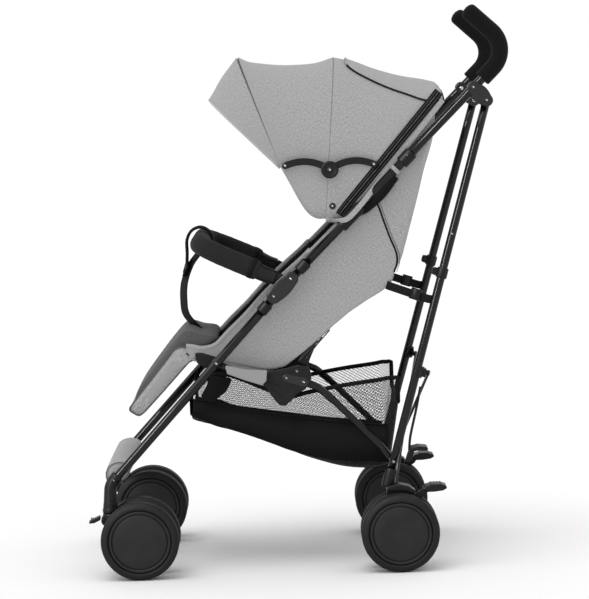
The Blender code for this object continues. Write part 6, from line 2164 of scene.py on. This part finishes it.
def pillow_grid(outline: Array | tuple, half_width: float, crown: float, end: float) -> Array:
    """Cushion from a (y, z) outline: 60 sections across x that draw in toward both ends.

    At distance d from an end the section is scaled about its middle by 1 - 0.5 (1 - d / end)^2.2 within
    the end's length, and pushed out by crown times cos(pi x / 2 w) along its own outward direction.

    Args:
        outline: rows of drawing y and z.
        half_width: half of the width.
        crown: outward push in the middle.
        end: length over which each end draws in.

    Returns:
        Grid of world points, sections by outline points.
    """
    rows = 60
    outline = closed_path(outline, 73)[:-1]
    middle = outline.mean(axis=0)
    out = unit(outline - middle)
    x = half_width * np.sin(np.linspace(-np.pi / 2, np.pi / 2, rows))
    near = np.clip(1.0 - (half_width - np.abs(x)) / end, 0.0, 1.0)
    scale = 1.0 - 0.5 * near ** 2.2
    push = crown * np.cos(np.pi * x / (2.0 * half_width))
    flat = middle + (outline - middle) * scale[:, None, None] + out * push[:, None, None]
    across = np.broadcast_to(x[:, None, None], (rows, len(outline), 1))
    return np.concatenate([across, flat + [LAYOUT.shift, 0.0]], axis=2)


@dataclass
class FrontSoft(SoftPart):
    """Calf rest, foot strap, bumper bar and crotch strap."""

    calf: tuple = ((-0.1339, 0.421), (-0.1501, 0.4295), (-0.169, 0.4275), (-0.185, 0.4095),
                   (-0.218, 0.3695), (-0.2546, 0.3252), (-0.2625, 0.313), (-0.254, 0.305),
                   (-0.2406, 0.3024), (-0.213, 0.329), (-0.178, 0.366), (-0.147, 0.399), (-0.1379, 0.404))
    foot: tuple = ((-0.312, 0.1955), (-0.305, 0.2095), (-0.29, 0.2165), (-0.274, 0.216), (-0.2625, 0.209),
                   (-0.265, 0.194), (-0.275, 0.1805), (-0.289, 0.1735), (-0.302, 0.173), (-0.311, 0.182))
    liner: tuple = ((-0.2535, 0.327), (-0.2445, 0.35), (-0.2043, 0.403), (-0.164, 0.45), (-0.1461, 0.458),
                    (-0.1232, 0.451), (-0.099, 0.447), (-0.093, 0.437), (-0.1239, 0.433), (-0.1504, 0.432),
                    (-0.1704, 0.426), (-0.218, 0.369))
    calf_half: float = 0.148
    liner_half: float = 0.138
    foot_half: float = 0.174
    strap_wide: float = 0.026
    bar_bend: float = 0.072
    bar_knee: tuple = (0.168, -0.118, 0.623)
    bar_end: tuple = (0.174, -0.006, 0.5725)
    bar_r: float = 0.019

    def build(self) -> None:
        """All four pieces."""
        self.calf_rest()
        self.foot_strap()
        self.bumper()
        self.crotch()

    def pillow(self, name: str, outline: tuple, half_width: float, crown: float, finish: Finish, body: str,
               stands_for: tuple[str, ...] = (), end: float = 0.016) -> None:
        """Padded piece from an outline, as pillow_grid makes it."""
        grid = pillow_grid(outline, half_width, crown, end)
        self.soft(grid_object(name, grid, Closing.AROUND, caps=True), finish, body, stands_for, fill=0.8)

    def calf_rest(self) -> None:
        """Padded calf rest with piping round both sides, and the dark liner that lies over it."""
        self.pillow("calf_cushion", self.calf, self.calf_half, 0.0006, GREY_CLOTH, "calf_rest",
                    ("calf_rest",), 0.006)
        outline = closed_path(self.calf, 90)
        for side in Side:
            rim = mirrored(LAYOUT.at(0.144, outline), side)
            self.seam(f"calf_piping_{side.tag}", rim, 0.0015, SEAM_CLOTH, "calf_rest")
        self.pillow("calf_liner", self.liner, self.liner_half, 0.0016, LINER_CLOTH, "calf_rest")

    def foot_strap(self) -> None:
        """Padded foot strap between the front legs, with two rounds of stitching at each end."""
        self.pillow("foot_strap_cover", self.foot, self.foot_half, 0.0004, GREY_CLOTH, "centre",
                    ("foot_strap",))
        outline = closed_path(self.foot, 90)
        middle = outline.mean(axis=0)
        for side in Side:
            for index, share in enumerate((1.0, 0.62)):
                x, ring = 0.17 + 0.003 * (1.0 - share), middle + (outline - middle) * share * 0.9
                rim = mirrored(LAYOUT.at(x, ring), side)
                self.seam(f"foot_strap_stitch_{side.tag}_{index}", rim, 0.0009, SEAM_CLOTH, "centre")

    def bumper(self) -> None:
        """Covered foam bar with its end bands and lower seam, and its two plastic ends."""
        mirror = np.array([-1.0, 1.0, 1.0])
        shift = np.array([0.0, LAYOUT.shift, 0.0])
        upright = (0.0, 0.35, 1.0)
        knee, end = np.array(self.bar_knee) + shift, np.array(self.bar_end) + shift
        line = smooth_path(arc_path(np.array([end, knee, knee * mirror, end * mirror]), self.bar_bend, 16),
                           180)
        along = np.concatenate([[0.0], np.cumsum(np.linalg.norm(np.diff(line, axis=0), axis=1))])
        near = np.minimum(along, along[-1] - along)
        radius = self.bar_r * (1.0 - 0.22 * np.clip(1.0 - near / 0.007, 0.0, 1.0) ** 2)
        wave = 1.0 + 0.01 * np.sin(along * 260.0) * np.sin(along * 91.0 + 0.7)
        bar = tube_object("bumper_cover", line, radius * wave, sides=44, reference=upright)
        self.soft(bar, BAR_FOAM, "bumper_bar", ("bumper_bar",), fill=0.9)
        for side in Side:
            ring = line[3:7] if side is Side.LEFT else line[-7:-3]
            band = tube_object(f"bumper_end_band_{side.tag}", ring, self.bar_r + 0.0008, sides=40,
                               reference=upright)
            self.soft(band, BAR_BINDING, "bumper_bar")
            start = mirrored(LAYOUT.spot((0.025, 0.559)), side)
            stop = mirrored(end + unit(knee - end) * 0.006, side)
            path = smooth_path(np.array([start, (start + stop) / 2 + [0.0, 0.0, -0.0015], stop]), 24)
            tip = tube_object(f"bumper_end_{side.tag}", path, np.linspace(0.0135, 0.016, 24), sides=28)
            self.soft(tip, BLACK_PLASTIC, "bumper_bar")
        under = line - np.array([0.0, 0.0, self.bar_r - 0.0004])
        self.soft(tube_object("bumper_seam", under[6:-6], 0.0011, sides=8, reference=upright), BAR_BINDING,
                  "bumper_bar")

    def crotch(self) -> None:
        """Crotch strap: a loop around the middle of the bumper bar and its fall to the seat's front."""
        loop = [(-0.156, 0.556), (-0.15, 0.572), (-0.1478, 0.5983), (-0.1472, 0.626), (-0.1375, 0.644),
                (-0.1203, 0.6505), (-0.1045, 0.643), (-0.0975, 0.629), (-0.0985, 0.614), (-0.11, 0.601)]
        strap = band_object("crotch_strap_loop", smooth_path(LAYOUT.at(0.0, loop), 90), self.strap_wide,
                            0.006)
        self.soft(strap, WEBBING, "centre", ("crotch_strap",))
        fall = [(-0.124, 0.601), (-0.1431, 0.5746), (-0.1553, 0.5409), (-0.1575, 0.5071), (-0.1535, 0.4797),
                (-0.1339, 0.4552), (-0.1078, 0.4289)]
        turned = band_object("crotch_strap_fall", smooth_path(LAYOUT.at(0.0, fall), 90), self.strap_wide,
                             0.0028, (0.84, 0.54, 0.12))
        self.soft(turned, WEBBING, "centre")
        clip = LAYOUT.at(0.0, [(-0.1478, 0.58), (-0.1535, 0.562)])
        self.soft(band_object("crotch_clip", clip, 0.03, 0.009), BLACK_PLASTIC, "centre")


@dataclass
class Basket(SoftPart):
    """Basket: knitted net with a solid floor, bands along its sides, bound rims and front corners."""

    half_width: float = 0.144
    stations: tuple = ((-0.144, 0.298, 0.33), (-0.141, 0.29, 0.345), (-0.125, 0.284, 0.366),
                       (-0.083, 0.272, 0.377), (-0.002, 0.244, 0.345), (0.035, 0.228, 0.327),
                       (0.083, 0.208, 0.336), (0.15, 0.189, 0.347), (0.215, 0.186, 0.355),
                       (0.232, 0.2, 0.358), (0.241, 0.245, 0.358), (0.252, 0.31, 0.359))
    section: tuple = ((1.0, 1.0), (0.998, 0.4), (0.97, 0.08), (0.86, 0.0), (0.4, -0.014), (0.0, -0.02))
    band_top: tuple = ((-0.145, 0.329), (-0.1023, 0.3231), (-0.0702, 0.3105), (-0.0321, 0.3035),
                       (0.0097, 0.2964), (0.0518, 0.29), (0.1202, 0.2794), (0.23, 0.268))
    band_bottom: tuple = ((-0.154, 0.296), (-0.1287, 0.2777), (-0.0909, 0.263), (-0.0567, 0.2542),
                          (-0.0152, 0.2375), (0.0227, 0.2227), (0.0605, 0.2079), (0.14, 0.19),
                          (0.215, 0.186))
    corner: tuple = ((-0.1086, 0.3756), (-0.0627, 0.3675), (-0.0768, 0.3414), (-0.1072, 0.3191),
                     (-0.1265, 0.333), (-0.1125, 0.3558))
    far_drop: float = 0.032
    band_least: float = 0.012
    band_layers: tuple[float, float, float] = (0.1452, 0.1456, 0.1445)
    corner_layers: tuple[float, float] = (0.1462, 0.1478)
    cloth_thick: float = 0.001
    net_thick: float = 0.0008
    rim_r: float = 0.0042
    front_rim_r: float = 0.0032
    piping_r: float = 0.0016

    def surface(self, outward: float, columns: int = 97) -> Array:
        """Outer surface: each station's section, in shares of the half width and of the height to the rim.

        Args:
            outward: distance outside the net, applied to the sides and the floor.
            columns: points across.

        Returns:
            Grid of points, stations by section.
        """
        fine = refine_rows(np.array(self.stations), 110)
        half = smooth_path(np.array(self.section), (columns + 1) // 2)
        whole = np.vstack([half, half[-2::-1] * [-1.0, 1.0]])
        x = whole[None, :, 0] * (self.half_width + outward) + 0.0 * fine[:, :1]
        z = fine[:, 1, None] + (fine[:, 2] - fine[:, 1])[:, None] * whole[None, :, 1]
        y = np.broadcast_to(fine[:, :1] + LAYOUT.shift, z.shape)
        return np.stack([x, y, z - outward * (whole[None, :, 1] < 0.1)], axis=2)

    def build(self) -> None:
        """Net, solid floor, rims, and on each side the band, its piping and the front corner."""
        outer = self.surface(0.0)
        self.sheet("basket_net", outer, self.net_thick, BLACK_NET, "basket",
                   ("hung", ("rear_leg_skin_left", "rear_leg_skin_right")), ("basket",))
        rim = np.vstack([outer[:, 0], outer[-1, 1:-1], outer[::-1, -1]])
        self.seam("basket_rim", smooth_path(rim[::2], 260), self.rim_r, BINDING, "basket", sides=14)
        self.seam("basket_front_rim", outer[0][::2], self.front_rim_r, BINDING, "basket", sides=12)
        hung = ("hung", ("basket_net",))
        self.sheet("basket_floor", self.surface(self.cloth_thick)[:, 26:-26], self.cloth_thick, BINDING,
                   "basket", hung)
        for side in Side:
            upper = np.array(self.band_top) - [0.0, 0.0 if side is Side.LEFT else self.far_drop]
            lower = np.column_stack([upper[:, 0], np.interp(upper[:, 0], *np.array(self.band_bottom).T)])
            lower[:, 1] = np.minimum(lower[:, 1], upper[:, 1] - self.band_least)
            lines = zip(self.band_layers, (upper, (upper + lower) / 2, lower + [0.0, 0.01]))
            rows = [smooth_path(LAYOUT.at(x, yz), 80) for x, yz in lines]
            strip = mirrored(np.stack(rows, axis=1), side)
            self.sheet(f"basket_band_{side.tag}", strip, self.cloth_thick * -side.value, BINDING, "basket",
                       hung)
            corner = round_outline(self.corner, 0.006)
            low, high = (mirrored(LAYOUT.at(deep, corner), side) for deep in self.corner_layers)
            self.soft(plate_object(f"basket_corner_{side.tag}", low, high, 0.0005), BINDING, "basket")
            path = mirrored(smooth_path(LAYOUT.at(0.1456, upper), 80), side)
            self.seam(f"basket_piping_{side.tag}", path, self.piping_r, BINDING, "basket")


@dataclass
class Studio:
    """Floor, lights, background and camera of the photograph."""

    focal_px: float = 2496.58
    sensor: float = 36.0
    side_px: float = 599.0
    place: tuple = (4.88997, -0.01485, 0.90849)
    yaw: float = -0.0015
    pitch: float = 0.0829
    roll: float = -0.03148

    def build(self) -> None:
        """Everything of the studio."""
        bpy.context.scene.view_settings.view_transform = "Standard"
        self.floor()
        self.world()
        self.lamps()
        self.camera()

    def floor(self) -> None:
        """Large pale floor that takes the object's shadow."""
        size = 60.0
        corners = np.array([[-size, -size, 0.0], [size, -size, 0.0], [size, size, 0.0], [-size, size, 0.0]])
        floor = mesh_object("floor", corners, [[0, 1, 2, 3]], smooth=False)
        made = bpy.data.materials.new("studio floor")
        made.use_nodes = True
        graph = Graph(made.node_tree)
        shader = graph.add("BsdfPrincipled", {"Base Color": rgba((1.0, 1.0, 1.0)), "Roughness": 1.0,
                                              "Specular IOR Level": 0.0})
        graph.add("OutputMaterial", {0: shader.outputs[0]})
        floor.data.materials.append(made)

    def world(self) -> None:
        """White background for the camera and mirrors, softer light for the rest."""
        world = bpy.data.worlds.new("studio")
        world.use_nodes = True
        graph = Graph(world.node_tree)
        path = graph.add("LightPath")
        seen = graph.math("MAXIMUM", path.outputs["Is Camera Ray"], path.outputs["Is Transmission Ray"])
        seen = graph.math("MAXIMUM", seen, path.outputs["Is Glossy Ray"])
        strength = graph.add("Mix", {0: seen, 2: 0.8, 3: 1.0}, data_type="FLOAT")
        back = graph.add("Background", {"Color": rgba((1.0, 1.0, 1.0)), "Strength": strength.outputs[0]})
        graph.add("OutputWorld", {0: back.outputs[0]})
        bpy.context.scene.world = world

    def lamps(self) -> None:
        """A soft high sun, and a strip that shows only as streaks on glossy pieces."""
        lamps = (("high_sun", "SUN", (0.6, -0.5, 3.0), 0.8, math.radians(38.0), None),
                 ("edge_strip", "AREA", (3.0, -2.6, 3.0), 240.0, None, (0.6, 3.6)))
        for name, kind, place, power, angle, size in lamps:
            lamp = bpy.data.lights.new(name, kind)
            lamp.energy = power
            if angle is not None:
                lamp.angle = angle
            if size is not None:
                lamp.shape, lamp.size, lamp.size_y = "RECTANGLE", *size
            made = bpy.data.objects.new(name, lamp)
            made.visible_diffuse = size is None
            made.location = place
            aim = Vector((0.0, 0.0, 0.5)) - Vector(place)
            made.rotation_euler = aim.to_track_quat("-Z", "Y").to_euler()
            bpy.context.scene.collection.objects.link(made)

    def camera(self) -> None:
        """Camera of the photograph, from its place, yaw, pitch and roll."""
        forward = np.array([-math.cos(self.pitch) * math.cos(self.yaw),
                            -math.cos(self.pitch) * math.sin(self.yaw), -math.sin(self.pitch)])
        right = unit(np.cross(forward, (0.0, 0.0, 1.0)))
        up = np.cross(right, forward)
        turned_right = right * math.cos(self.roll) + up * math.sin(self.roll)
        turned_up = up * math.cos(self.roll) - right * math.sin(self.roll)
        data = bpy.data.cameras.new("photo_camera")
        data.sensor_width = self.sensor
        data.lens = self.focal_px / self.side_px * self.sensor
        made = bpy.data.objects.new("photo_camera", data)
        matrix = np.eye(4)
        matrix[:3, 0], matrix[:3, 1], matrix[:3, 2], matrix[:3,
                                                            3] = turned_right, turned_up, -forward, self.place
        made.matrix_world = Matrix(matrix.tolist())
        bpy.context.scene.collection.objects.link(made)
        bpy.context.scene.camera = made


def main() -> None:
    """Build every sub-assembly in order, log each one's count of pieces, and build the studio last."""
    assemblies = []
    for side in Side:
        for kind in (WheelSet, PushTube, FrontLeg, RearLeg, SideLinkage, CrossBar, CanopyStay):
            assemblies.append(kind(name=f"{kind.__name__} {side.tag}", side=side))
    assemblies.append(FoldPedal(name="FoldPedal"))
    assemblies += [kind(name=kind.__name__) for kind in (Seat, Backrest, Harness, FrontSoft, Canopy,
                                                         Basket)]
    for assembly in assemblies:
        assembly.build()
        LOG.info("%s: %d pieces", assembly.name, assembly.count)
    Studio().build()


if __name__ == "__main__":
    main()
